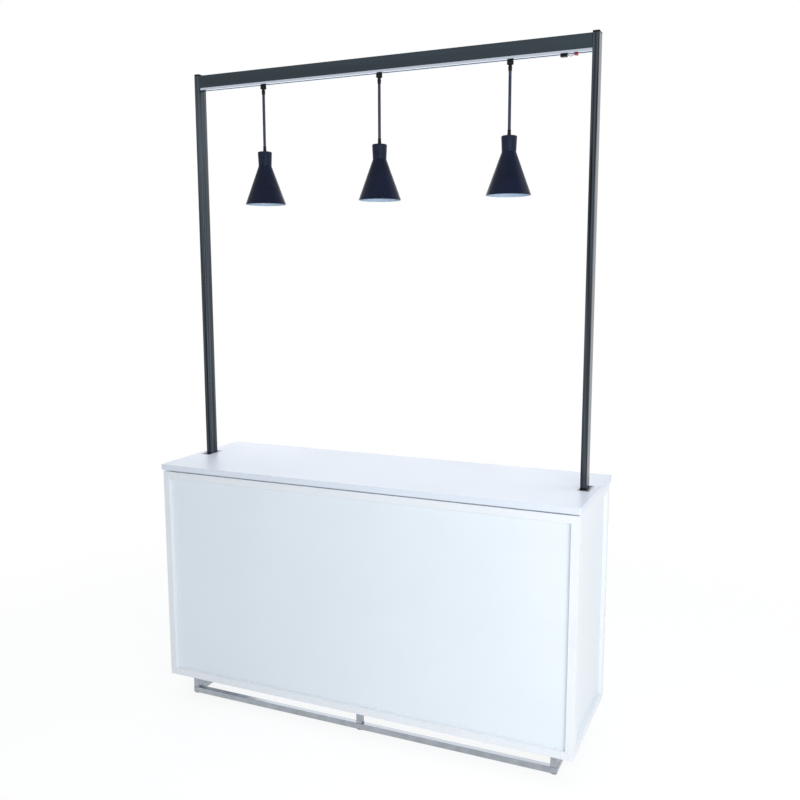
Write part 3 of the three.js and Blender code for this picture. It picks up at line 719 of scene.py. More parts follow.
@dataclass
class Workshop:
    """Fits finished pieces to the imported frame.

    Attributes:
        body_of: The body of each node.
        slot_of: The material slot of each node.
    """

    frame: dict
    body_of: dict[str, str] = field(init=False)
    slot_of: dict[str, str] = field(init=False)

    def __post_init__(self) -> None:
        """Looks up each node's body and material slot."""
        record = self.frame["record"]
        bodies = record["behaviour"]["bodies"]
        self.body_of = {node: body for body, nodes in bodies.items() for node in nodes}
        self.slot_of = {row["node"]: row["material_slot"] for row in record["subparts"]}

    def fit(self, piece: Object, node: str) -> None:
        """Lets a piece stand for a node and ride on its body.

        Args:
            piece: The finished piece.
            node: The node that it replaces.
        """
        piece.name = f"{node}_made"
        piece.data.name = piece.name
        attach(piece, self.body_of[node])
        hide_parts(node)
        LOG.info("%s rides on %s", piece.name, self.body_of[node])

    def fit_pair(self, piece: Object, right: str, left: str) -> None:
        """Fits a piece on the right and its mirror image on the left.

        Args:
            piece: The piece made for the right.
            right: Node on the right.
            left: Node on the left.
        """
        twin = Bench.copy(piece, MIRROR)
        self.fit(piece, right)
        self.fit(twin, left)


# Small hardware


@dataclass
class Screw:
    """A countersunk head with a cross recess, set flush in a face.

    Attributes:
        radius: Radius of the head.
        proud: Height of the head above the face.
        root: How far the head reaches into the face.
        recess: Width of the recess' arms.
        reach: Length of the arms, as a share of the head's radius.
        depth: Depth of the recess.
        finish: Finish of the head.
    """

    radius: float = 3.4 * MM
    proud: float = 0.7 * MM
    root: float = 0.4 * MM
    recess: float = 0.8 * MM
    reach: float = 1.1
    depth: float = 0.9 * MM
    finish: Finish = BRIGHT_STEEL

    def head(self) -> Object:
        """Models the head about the origin, looking up.

        Returns:
            The head.
        """
        edge = self.radius - self.proud
        profile = [(0.0, -self.root), (self.radius, -self.root), *arc((edge, 0.0), self.proud, 0.0, 70.0, 4),
                   (0.0, self.proud)]
        head = Bench.revolve(profile, Vector((0.0, 0.0, 0.0)), 20)
        length = self.radius * self.reach
        middle = Vector((0.0, 0.0, self.proud))
        arms = [(length, self.recess, 2 * self.depth), (self.recess, length, 2 * self.depth)]
        Bench.cut(head, *[Bench.block(Box.about(middle, arm)) for arm in arms])
        return Bench.soften(Bench.paint(head, self.finish), weighted=False)

    def set_in(self, places: list[Vector], facing: Vector) -> list[Object]:
        """Sets copies of the head in a face.

        Args:
            places: Middles of the heads, on the face.
            facing: Direction that the face looks.

        Returns:
            The copies.
        """
        master = self.head()
        turn = facing.to_track_quat("Z", "Y").to_matrix().to_4x4()
        copies = [Bench.copy(master, Matrix.Translation(place) @ turn) for place in places]
        bpy.data.objects.remove(master)
        return copies


@dataclass
class Glide:
    """A plastic foot under the end of a tube.

    Attributes:
        plug: Half width of the plug inside the tube.
        plug_edge: Rounding of the plug's upright edges.
        height: Height of the foot under the tube.
        toe: Rounding of the foot's lower edge.
        rib: Height of the narrow rib under the tube's end.
    """

    plug: float = 10.7 * MM
    plug_edge: float = 1.0 * MM
    height: float = 2.8 * MM
    toe: float = 1.0 * MM
    rib: float = 0.7 * MM

    def build(self, shop: Workshop, node: str) -> None:
        """Models the foot and fits it to a node.

        Args:
            shop: Where the piece is fitted.
            node: The node that it replaces.
        """
        space = Box.of(node)
        centre = Vector((space.centre.x, space.centre.y, space.low.z))
        radius = space.size.x / 2
        height, toe = self.height, self.toe
        foot = Bench.revolve([
            (0.0, 0.0), (radius - toe, 0.0), *arc((radius - toe, toe), toe, -70.0, 0.0, 4),
            (radius, height - self.rib), (radius - self.rib, height - self.rib), (radius - self.rib, height),
            (0.0, height),
        ], centre, 40)
        plug = Bench.block(Box(
            Vector((centre.x - self.plug, centre.y - self.plug, height / 2)),
            Vector((centre.x + self.plug, centre.y + self.plug, space.high.z)),
        ), self.plug_edge, Axis.Z)
        shop.fit(Bench.soften(Bench.paint(Bench.join([foot, plug]), BLACK_PLASTIC)), node)


# Folding frame


@dataclass
class TubeFrame:
    """Square tubes, welded where they meet.

    Attributes:
        tube: Outer width of the tube.
        edge: Rounding of the tube's long edges.
        bead: How far a weld stands out.
        bead_edge: Rounding of a weld.
        bead_length: Length of a weld along the tube.
        border: Width of a panel's border, whose middle the stubs meet.
        fit: Room round the pins that drop into the top rail.
    """

    tube: float = 25 * MM
    edge: float = 2.2 * MM
    bead: float = 1.0 * MM
    bead_edge: float = 0.9 * MM
    bead_length: float = 1.5 * MM
    border: float = 30 * MM
    fit: float = 0.3 * MM

    def bar(self, space: Box, along: Axis) -> Object:
        """Models one tube with rounded long edges."""
        return Bench.paint(Bench.block(space, self.edge, along), SATIN_STEEL)

    def weld(self, end: Box, along: Axis) -> Object:
        """Models the bead round a tube's end.

        Args:
            end: The last stretch of the tube.
            along: Axis that the tube runs along.

        Returns:
            The bead, a rounded collar round the tube.
        """
        collar = end.grown(self.bead).span(along, end.low[along.value], end.high[along.value])
        return Bench.paint(Bench.block(collar, self.bead_edge, segments=2), WELD_STEEL)

    def welded(self, space: Box, along: Axis, ends: tuple[bool, bool]) -> list[Object]:
        """Models a tube with beads at the ends that meet another tube.

        Args:
            space: Where the tube is.
            along: Axis that it runs along.
            ends: Whether its lower and its higher end are welded.

        Returns:
            The tube and its beads.
        """
        low, high = space.low[along.value], space.high[along.value]
        pieces = [self.bar(space, along)]
        for is_welded, end in zip(ends, ((low, low + self.bead_length), (high - self.bead_length, high))):
            if is_welded:
                pieces.append(self.weld(space.span(along, *end), along))
        return pieces

    def ladder(self, space: Box, along: Axis, columns: list[Point]) -> list[Object]:
        """Models two rails that run right through and the posts between them.

        Args:
            space: Outer space of the rails and posts.
            along: Axis that the rails run along.
            columns: Where each post starts and ends on that axis.

        Returns:
            The lower rail, the upper rail, and then the posts and their welds.
        """
        low, high = space.low.z + self.tube, space.high.z - self.tube
        pieces = [self.bar(space.span(Axis.Z, space.low.z, low), along),
                  self.bar(space.span(Axis.Z, high, space.high.z), along)]
        for column in columns:
            pieces += self.welded(space.span(Axis.Z, low, high).span(along, *column), Axis.Z, (True, True))
        return pieces

    def stub_heights(self, panel: str) -> list[float]:
        """Middles of a panel's bottom and top borders."""
        space = Box.of(panel)
        return [space.low.z + self.border / 2, space.high.z - self.border / 2]


@dataclass
class FrontFrame(TubeFrame):
    """Front of the folding frame: three posts, two rails and the stubs that carry the front panel."""

    def build(self, shop: Workshop) -> None:
        """Models the frame and its feet and fits them.

        Args:
            shop: Where the pieces are fitted.
        """
        whole = Box.of("front_frame")
        front = whole.high.y - self.tube
        depth = whole.span(Axis.Y, front, whole.high.y)
        half = self.tube / 2
        columns = [(x - half, x + half) for x in (whole.low.x + half, 0.0, whole.high.x - half)]
        pieces = self.ladder(depth, Axis.X, columns)
        upper_rail = pieces[1]
        for side in Side:
            Bench.cut(upper_rail, Bench.rod(Box.of(f"locating_pin_{side.word}").grown(self.fit)))
        for column in columns:
            for z in self.stub_heights("front_panel_frame"):
                stub = whole.span(Axis.X, *column).span(Axis.Z, z - half, z + half)
                pieces += self.welded(stub.span(Axis.Y, whole.low.y, front), Axis.Y, (False, True))
        shop.fit(Bench.soften(Bench.join(pieces)), "front_frame")
        for word in ("left", "centre", "right"):
            Glide().build(shop, f"front_glide_{word}")


@dataclass
class WingFrame(TubeFrame):
    """End frame that folds: two posts, two rails and the stubs that carry the side panel."""

    def build(self, shop: Workshop) -> None:
        """Models the right wing's frame, mirrors it for the left and adds the feet.

        Args:
            shop: Where the pieces are fitted.
        """
        whole = Box.of("right_wing_frame")
        outside = whole.low.x + self.tube
        depth = whole.span(Axis.X, whole.low.x, outside)
        half = self.tube / 2
        columns = [(whole.low.y, whole.low.y + self.tube), (whole.high.y - self.tube, whole.high.y)]
        pieces = self.ladder(depth, Axis.Y, columns)
        for column in columns:
            for z in self.stub_heights("right_panel_frame"):
                stub = whole.span(Axis.Y, *column).span(Axis.Z, z - half, z + half)
                pieces += self.welded(stub.span(Axis.X, outside, whole.high.x), Axis.X, (True, False))
        shop.fit_pair(Bench.soften(Bench.join(pieces)), "right_wing_frame", "left_wing_frame")
        for side in Side:
            Glide().build(shop, f"{side.word}_wing_glide")


@dataclass
class LongHinge:
    """Hinge between the front frame and a wing: two leaves whose knuckles take turns along a pin.

    Attributes:
        knuckle: Radius of the knuckles.
        bore: Radius of the hole through them.
        pitch: Wanted length of a knuckle.
        gap: Play between two knuckles.
        leaf: Thickness of a leaf.
        edge: Rounding of the leaves and of the knuckles' ends.
        pin_play: Room between the pin and the knuckles.
        pin_head: Height of the pin's head.
        pin_dome: Rounding of that head.
    """

    knuckle: float = 4 * MM
    bore: float = 2 * MM
    pitch: float = 76 * MM
    gap: float = 0.5 * MM
    leaf: float = 2 * MM
    edge: float = 0.5 * MM
    pin_play: float = 0.1 * MM
    pin_head: float = 2.3 * MM
    pin_dome: float = 1.0 * MM

    def build(self, shop: Workshop) -> None:
        """Models the right hinge and mirrors it for the left.

        Args:
            shop: Where the pieces are fitted.
        """
        nodes = ("fixed_leaf_right", "right_wing_leaf", "hinge_pin_right")
        fixed, wing, pin = (Box.of(node) for node in nodes)
        axis = pin.centre
        spans = self.spans(fixed.low.z, fixed.high.z)
        root = self.knuckle + self.gap
        flat = Box(fixed.low.copy(), Vector((axis.x - root, fixed.low.y + self.leaf, fixed.high.z)))
        reach = flat.span(Axis.X, axis.x - root - self.leaf, axis.x)
        places = [Vector((flat.centre.x, flat.high.y, (low + high) / 2)) for low, high in spans]
        fixed_leaf = self.leaf_piece(flat, reach, axis, spans[0::2], places, Axis.Y.unit)
        flat = Box(Vector((wing.high.x - self.leaf, axis.y + root, wing.low.z)), wing.high.copy())
        reach = flat.span(Axis.Y, axis.y, axis.y + root + self.leaf)
        places = [Vector((flat.low.x, flat.centre.y, (low + high) / 2)) for low, high in spans]
        wing_leaf = self.leaf_piece(flat, reach, axis, spans[1::2], places, -Axis.X.unit)
        shop.fit_pair(fixed_leaf, "fixed_leaf_right", "fixed_leaf_left")
        shop.fit_pair(wing_leaf, "right_wing_leaf", "left_wing_leaf")
        shop.fit_pair(self.pin_piece(pin), "hinge_pin_right", "hinge_pin_left")

    def spans(self, low: float, high: float) -> list[Point]:
        """Shares the hinge's height out among the knuckles.

        Args:
            low: Lower end of the hinge.
            high: Upper end of the hinge.

        Returns:
            Lowest and highest point of each knuckle, from the bottom up.
        """
        count = max(3, round((high - low) / self.pitch))
        step = (high - low) / count
        return [(low + i * step + self.gap / 2, low + (i + 1) * step - self.gap / 2) for i in range(count)]

    def leaf_piece(self, flat: Box, reach: Box, axis: Vector, spans: list[Point], places: list[Vector],
                   facing: Vector) -> Object:
        """Models a leaf with its knuckles and screws.

        Args:
            flat: Space of the leaf's plate.
            reach: Space between the plate and the pin's axis.
            axis: Middle of the pin.
            spans: Heights of the knuckles of this leaf.
            places: Middles of the screw heads.
            facing: Direction that the screwed face looks.

        Returns:
            The leaf.
        """
        knuckle, bore, edge = self.knuckle, self.bore, self.edge
        pieces = [Bench.block(flat, edge)]
        for low, high in spans:
            pieces.append(Bench.block(reach.span(Axis.Z, low, high), edge / 2))
            profile = [(bore, low), (knuckle - edge, low), (knuckle, low + edge), (knuckle, high - edge),
                       (knuckle - edge, high), (bore, high), (bore, low)]
            pieces.append(Bench.revolve(profile, Vector((axis.x, axis.y, 0.0)), 32))
        for piece in pieces:
            Bench.paint(piece, SHADED_HINGE_STEEL)
        return Bench.soften(Bench.join(pieces + Screw(finish=SHADED_HINGE_STEEL).set_in(places, facing)))

    def pin_piece(self, pin: Box) -> Object:
        """Models the pin with a domed head and an eased lower end.

        Args:
            pin: Space of the pin.

        Returns:
            The pin.
        """
        head, shank, dome = pin.size.x / 2, self.bore - self.pin_play, self.pin_dome
        neck = pin.high.z - self.pin_head
        profile = [(0.0, pin.low.z), (shank - EASE, pin.low.z), (shank, pin.low.z + EASE), (shank, neck),
                   (head, neck), *arc((head - dome, pin.high.z - dome), dome, 0.0, 80.0, 5),
                   (0.0, pin.high.z)]
        piece = Bench.revolve(profile, Vector((pin.centre.x, pin.centre.y, 0.0)), 24)
        return Bench.soften(Bench.paint(piece, SHADED_HINGE_STEEL), weighted=False)


# Panels and counter top


@dataclass
class FramedPanel:
    """White panel: a mitred border with a groove that holds a thin board.

    Attributes:
        border: Width of the border.
        edge: Rounding of the border's edges.
        play: Room round the board in the groove.
        joint: Width of the fine line along a mitre.
    """

    border: float = 30 * MM
    edge: float = 1.4 * MM
    play: float = 0.2 * MM
    joint: float = 0.5 * MM

    def build(self, shop: Workshop, name: str, through: Axis) -> None:
        """Models a panel's border and board and fits them.

        Args:
            shop: Where the pieces are fitted.
            name: The panel's word in the names of nodes.
            through: Axis that looks through the panel.
        """
        frame_node, board_node = f"{name}_panel_frame", f"{name}_panel_insert"
        outer, board = Box.of(frame_node), Box.of(board_node)
        border = Bench.ring(outer, through, self.border, self.edge)
        Bench.cut(border, Bench.block(board.grown(self.play)), *self.mitres(outer, through))
        shop.fit(Bench.soften(Bench.paint(border, WHITE_LACQUER), 40.0), frame_node)
        sheet = Bench.block(board, EASE, segments=2)
        shop.fit(Bench.soften(Bench.paint(sheet, WHITE_BOARD)), board_node)

    def mitres(self, outer: Box, through: Axis) -> list[Object]:
        """Models thin tools for the lines across the border's four corners, on both faces.

        Args:
            outer: Outer space of the border.
            through: Axis that looks through the panel.

        Returns:
            The tools.
        """
        across = Axis.X if through is Axis.Y else Axis.Y
        size = [0.0, 0.0, 0.0]
        size[across.value] = self.joint
        size[through.value] = 2 * self.joint
        size[Axis.Z.value] = 3 * self.border
        tools = []
        for face in (outer.low, outer.high):
            for end in (outer.low, outer.high):
                for height, lean in ((outer.low, 1), (outer.high, -1)):
                    place = Vector((0.0, 0.0, height.z))
                    place[through.value] = face[through.value]
                    place[across.value] = end[across.value]
                    turn = 45.0 * lean * (1 if end is outer.low else -1) * (1 if through is Axis.Y else -1)
                    tool = Bench.block(Box.about(Vector((0.0, 0.0, 0.0)), tuple(size)))
                    tool.data.transform(Matrix.Translation(place) @ Matrix.Rotation(
                        math.radians(turn), 4, through.unit))
                    tools.append(tool)
        return tools


@dataclass
class CounterTop:
    """White laminated board with rounded corners and openings for the posts.

    Attributes:
        corner: Radius of the board's corners in plan.
        edge: Rounding of the upper and lower edges.
        plate: Thickness of the plate let into the underside.
        fit: Room round what is let in.
        seat: Room under the rings.
    """

    corner: float = 5 * MM
    edge: float = 1.6 * MM
    plate: float = 4 * MM
    fit: float = 0.3 * MM
    seat: float = 0.2 * MM

    def build(self, shop: Workshop) -> None:
        """Models the board and fits it.

        Args:
            shop: Where the piece is fitted.
        """
        space = Box.of("counter_top")
        board = Bench.block(space, self.corner, Axis.Z, 6)
        Bench.round_edges(board, self.edge, lambda way: abs(way.z) < 0.5, 4)
        under, over = space.low.z - self.edge, space.high.z + self.edge
        for side in Side:
            liner = Box.of(f"socket_liner_{side.word}").grown(self.fit)
            spigot = Box.of(f"post_spigot_{side.word}").grown(self.fit)
            opening = liner.span(Axis.Z, under, over)
            rebate = spigot.span(Axis.Z, under, space.low.z + self.plate + self.fit)
            ring = Box.of(f"socket_ring_{side.word}")
            seat = ring.grown(self.fit).span(Axis.Z, ring.low.z - self.seat, over)
            pin = Bench.rod(Box.of(f"locating_pin_{side.word}").grown(self.fit))
            Bench.cut(board, Bench.block(opening), Bench.block(rebate), Bench.block(seat), pin)
        shop.fit(Bench.soften(Bench.paint(board, WHITE_LAMINATE)), "counter_top")


@dataclass
class PostSocket:
    """Where a gantry post stands in the top: a steel ring, a plastic liner and a spigot on a plate.

    Attributes:
        flange: Width of the ring's sides.
        ring_edge: Rounding of the ring.
        liner_edge: Rounding of the liner.
        fit: Room between the post and what it slides through and over.
        post_wall: Wall of the post.
        wall: Wall of the spigot's tube.
        tube_edge: Rounding of the tube's upright edges.
        bead: Height of the weld at the tube's foot, and how far it stands out.
        bead_edge: Rounding of the weld.
        plate: Thickness of the spigot's plate.
        plate_edge: Rounding of the plate, and how deep its screws sit.
        screw_inset: From the plate's edges to the middles of the screws.
        taper: Length of a locating pin's tapered tip.
        tip: Two radii near the end of that tip, as shares of the pin's radius.
        tip_height: From the end of the tip to the second of them.
        pin_edge: Easing of the pin's upper end.
    """

    flange: float = 5 * MM
    ring_edge: float = 0.6 * MM
    liner_edge: float = 0.8 * MM
    fit: float = 0.3 * MM
    post_wall: float = 2 * MM
    wall: float = 3 * MM
    tube_edge: float = 1.2 * MM
    bead: float = 1.5 * MM
    bead_edge: float = 1.0 * MM
    plate: float = 4 * MM
    plate_edge: float = 0.6 * MM
    screw_inset: float = 6 * MM
    taper: float = 4 * MM
    tip: Point = (0.45, 0.6)
    tip_height: float = 0.6 * MM
    pin_edge: float = 0.5 * MM

    def build(self, shop: Workshop) -> None:
        """Models the right socket and mirrors it for the left.

        Args:
            shop: Where the pieces are fitted.
        """
        ring = Bench.ring(Box.of("socket_ring_right"), Axis.Z, self.flange, self.ring_edge)
        ring = Bench.soften(Bench.paint(ring, RING_STEEL))
        shop.fit_pair(ring, "socket_ring_right", "socket_ring_left")
        post = Box.of("gantry_post_right")
        space = Box.of("socket_liner_right")
        liner = Bench.block(space, self.liner_edge)
        Bench.cut(liner, Bench.block(post.grown(self.fit).span(Axis.Z, space.low.z - MM, space.high.z + MM)))
        liner = Bench.soften(Bench.paint(liner, GREY_PLASTIC))
        shop.fit_pair(liner, "socket_liner_right", "socket_liner_left")
        shop.fit_pair(self.spigot(post), "post_spigot_right", "post_spigot_left")
        shop.fit_pair(self.locating_pin(), "locating_pin_right", "locating_pin_left")

    def spigot(self, post: Box) -> Object:
        """Models the plate with its screws and the tube that the post slides over.

        Args:
            post: Space of the post.

        Returns:
            The spigot.
        """
        space = Box.of("post_spigot_right")
        foot = space.span(Axis.Z, space.low.z, space.low.z + self.plate)
        inner = post.grown(-self.post_wall - self.fit)
        tube = Bench.block(inner.span(Axis.Z, foot.high.z, space.high.z), self.tube_edge, Axis.Z)
        Bench.hollow(tube, Axis.Z.unit, self.wall, space.high.z - foot.high.z - self.wall)
        bead = inner.grown(self.bead).span(Axis.Z, foot.high.z, foot.high.z + self.bead)
        pieces = [Bench.paint(Bench.block(foot, self.plate_edge), SATIN_STEEL),
                  Bench.paint(tube, SATIN_STEEL),
                  Bench.paint(Bench.block(bead, self.bead_edge), WELD_STEEL)]
        corners = foot.grown(-self.screw_inset)
        places = [Vector((x, y, foot.low.z + self.plate_edge)) for x in (corners.low.x, corners.high.x)
                  for y in (corners.low.y, corners.high.y)]
        return Bench.soften(Bench.join(pieces + Screw().set_in(places, -Axis.Z.unit)))

    def locating_pin(self) -> Object:
        """Models a pin under the top with a tapered tip.

        Returns:
            The pin.
        """
        space = Box.of("locating_pin_right")
        radius, low, high = space.size.x / 2, space.low.z, space.high.z
        end, second = self.tip
        profile = [(0.0, low), (radius * end, low), (radius * second, low + self.tip_height),
                   (radius, low + self.taper), (radius, high - self.pin_edge), (radius - self.pin_edge, high),
                   (0.0, high)]
        piece = Bench.revolve(profile, Vector((space.centre.x, space.centre.y, 0.0)), 28)
        return Bench.soften(Bench.paint(piece, BRIGHT_STEEL), weighted=False)


# Gantry


@dataclass
class Gantry:
    """Two posts, a beam between them and the light track under it.

    Attributes:
        post_edge: Rounding of a post's long edges.
        post_wall: Wall of a post.
        spigot: How far a post is hollow from below, for its spigot.
        cap_head: Height of a cap above its post.
        cap_edge: Rounding of a cap.
        plug_edge: Rounding of a cap's plug.
        fit: Room round that plug in the post.
        beam_edge: Rounding of the beam's long edges.
        track_edge: Rounding of the track's long edges.
        track_wall: Wall of the track's channel.
        track_slot: Width of the slot between the track's lips.
    """

    post_edge: float = 2.5 * MM
    post_wall: float = 2 * MM
    spigot: float = 184 * MM
    cap_head: float = 6.8 * MM
    cap_edge: float = 2.2 * MM
    plug_edge: float = 1.0 * MM
    fit: float = 0.3 * MM
    beam_edge: float = 2.0 * MM
    track_edge: float = 0.8 * MM
    track_wall: float = 2 * MM
    track_slot: float = 14 * MM

    def build(self, shop: Workshop) -> None:
        """Models the gantry's pieces and fits them.

        Args:
            shop: Where the pieces are fitted.
        """
        post = Bench.block(Box.of("gantry_post_right"), self.post_edge, Axis.Z, 4)
        Bench.hollow(post, -Axis.Z.unit, self.post_wall, self.spigot)
        shop.fit_pair(Bench.soften(Bench.paint(post, DARK_CHROME)), "gantry_post_right", "gantry_post_left")
        shop.fit_pair(self.cap(), "post_cap_right", "post_cap_left")
        span = Box.of("light_track")
        beam = Box.of("gantry_beam").span(Axis.X, span.low.x, span.high.x)
        piece = Bench.block(beam, self.beam_edge, Axis.X, 4)
        shop.fit(Bench.soften(Bench.paint(piece, SLATE_PAINT)), "gantry_beam")
        shop.fit(self.track(span), "light_track")

    def cap(self) -> Object:
        """Models a post's cap with a crowned top and a plug.

        Returns:
            The cap.
        """
        space = Box.of("post_cap_right")
        head = space.span(Axis.Z, space.high.z - self.cap_head, space.high.z)
        head = Bench.block(head, self.cap_edge, Axis.Z, 4)
        Bench.round_edges(head, self.cap_edge, lambda way: abs(way.z) < 0.5, 4)
        plug = space.grown(-self.post_wall - self.fit)
        plug = plug.span(Axis.Z, space.low.z, space.high.z - self.cap_head / 2)
        pieces = [head, Bench.block(plug, self.plug_edge, Axis.Z)]
        return Bench.soften(Bench.paint(Bench.join(pieces), BLACK_PLASTIC))

    def track(self, space: Box) -> Object:
        """Models the channel under the beam, open below between two lips.

        Args:
            space: Space of the track.

        Returns:
            The track.
        """
        channel = Bench.block(space, self.track_edge, Axis.X)
        inside = space.grown(-self.track_wall).span(Axis.X, space.low.x - MM, space.high.x + MM)
        half = self.track_slot / 2
        slot = inside.span(Axis.Y, space.centre.y - half, space.centre.y + half)
        slot = slot.span(Axis.Z, space.low.z - MM, space.centre.z)
        Bench.cut(channel, Bench.block(inside), Bench.block(slot))
        return Bench.soften(Bench.paint(channel, TRACK_ALUMINIUM))


@dataclass
class TrackLead:
    """Lead at the right end of the track: a black block, a red terminal and the wire between them.

    Attributes:
        edge: Rounding of the blocks.
        seat: Room between the blocks and the track.
        neck: Width of a block's neck in the track's slot.
        foot: Width and height of the foot behind the track's lips.
        screw: Screw under each block.
        wire: Radius of the wire.
        sag: How far the wire hangs down between the blocks.
        flat: How far it runs straight out of each block.
    """

    edge: float = 1.2 * MM
    seat: float = 0.2 * MM
    neck: float = 13.4 * MM
    foot: Point = (19 * MM, 2.5 * MM)
    screw: Screw = field(default_factory=lambda: Screw(2.4 * MM, 0.4 * MM, recess=0.6 * MM, depth=0.5 * MM))
    wire: float = 1.6 * MM
    sag: float = 5 * MM
    flat: float = 4 * MM

    def build(self, shop: Workshop) -> None:
        """Models the blocks and the wire and fits them.

        Args:
            shop: Where the pieces are fitted.
        """
        under = Box.of("light_track").low.z - self.seat
        for node, finish in (("feed_block", BLACK_PLASTIC), ("red_terminal", RED_PLASTIC)):
            shop.fit(self.block(Box.of(node), under, finish), node)
        shop.fit(self.lead(under), "feed_lead")

    def block(self, space: Box, under: float, finish: Finish) -> Object:
        """Models a block under the track, with its foot in the slot and a screw below.

        Args:
            space: Space of the block and its foot.
            under: Height of the track's underside.
            finish: The block's finish.

        Returns:
            The block.
        """
        width, height = self.foot
        body = Bench.block(space.span(Axis.Z, space.low.z, under), self.edge)
        neck = Box.about(space.centre, (space.size.x / 2, self.neck, 0.0))
        neck = Bench.block(neck.span(Axis.Z, under - self.edge, space.high.z - MM))
        foot = Box.about(space.centre, (space.size.x / 2, width, 0.0))
        foot = Bench.block(foot.span(Axis.Z, space.high.z - height, space.high.z), EASE)
        pieces = [Bench.paint(piece, finish) for piece in (body, neck, foot)]
        place = Vector((space.centre.x, space.centre.y, space.low.z + self.screw.proud))
        return Bench.soften(Bench.join(pieces + self.screw.set_in([place], -Axis.Z.unit)))

    def lead(self, under: float) -> Object:
        """Models the wire as a curve with a round section, made a mesh.

        Args:
            under: Height of the track's underside.

        Returns:
            The wire.
        """
        space = Box.of("feed_lead")
        feed, terminal = Box.of("feed_block"), Box.of("red_terminal")
        start = Vector((space.low.x, space.centre.y, (feed.low.z + under) / 2))
        end = Vector((space.high.x, space.centre.y, (terminal.low.z + under) / 2))
        middle = Vector((space.centre.x, space.centre.y, min(start.z, end.z) - self.sag))
        step = Vector((self.flat, 0.0, 0.0))
        Bench.clear()
        bpy.ops.curve.primitive_nurbs_path_add()
        wire = bpy.context.active_object
        points = [start, start + step, start.lerp(middle, 0.5) + step / 2, middle,
                  end.lerp(middle, 0.5) - step / 2, end - step, end]
        spline = wire.data.splines[0]
        spline.points.add(len(points) - len(spline.points))
        for knot, place in zip(spline.points, points):
            knot.co = (*place, 1.0)
        spline.use_endpoint_u = True
        wire.data.resolution_u = 8
        wire.data.bevel_depth = self.wire
        wire.data.bevel_resolution = 4
        wire.data.use_fill_caps = True
        bpy.ops.object.convert(target="MESH")
        return Bench.soften(Bench.paint(bpy.context.active_object, LEAD_SHEATH), 50.0, weighted=False)


# Lamps


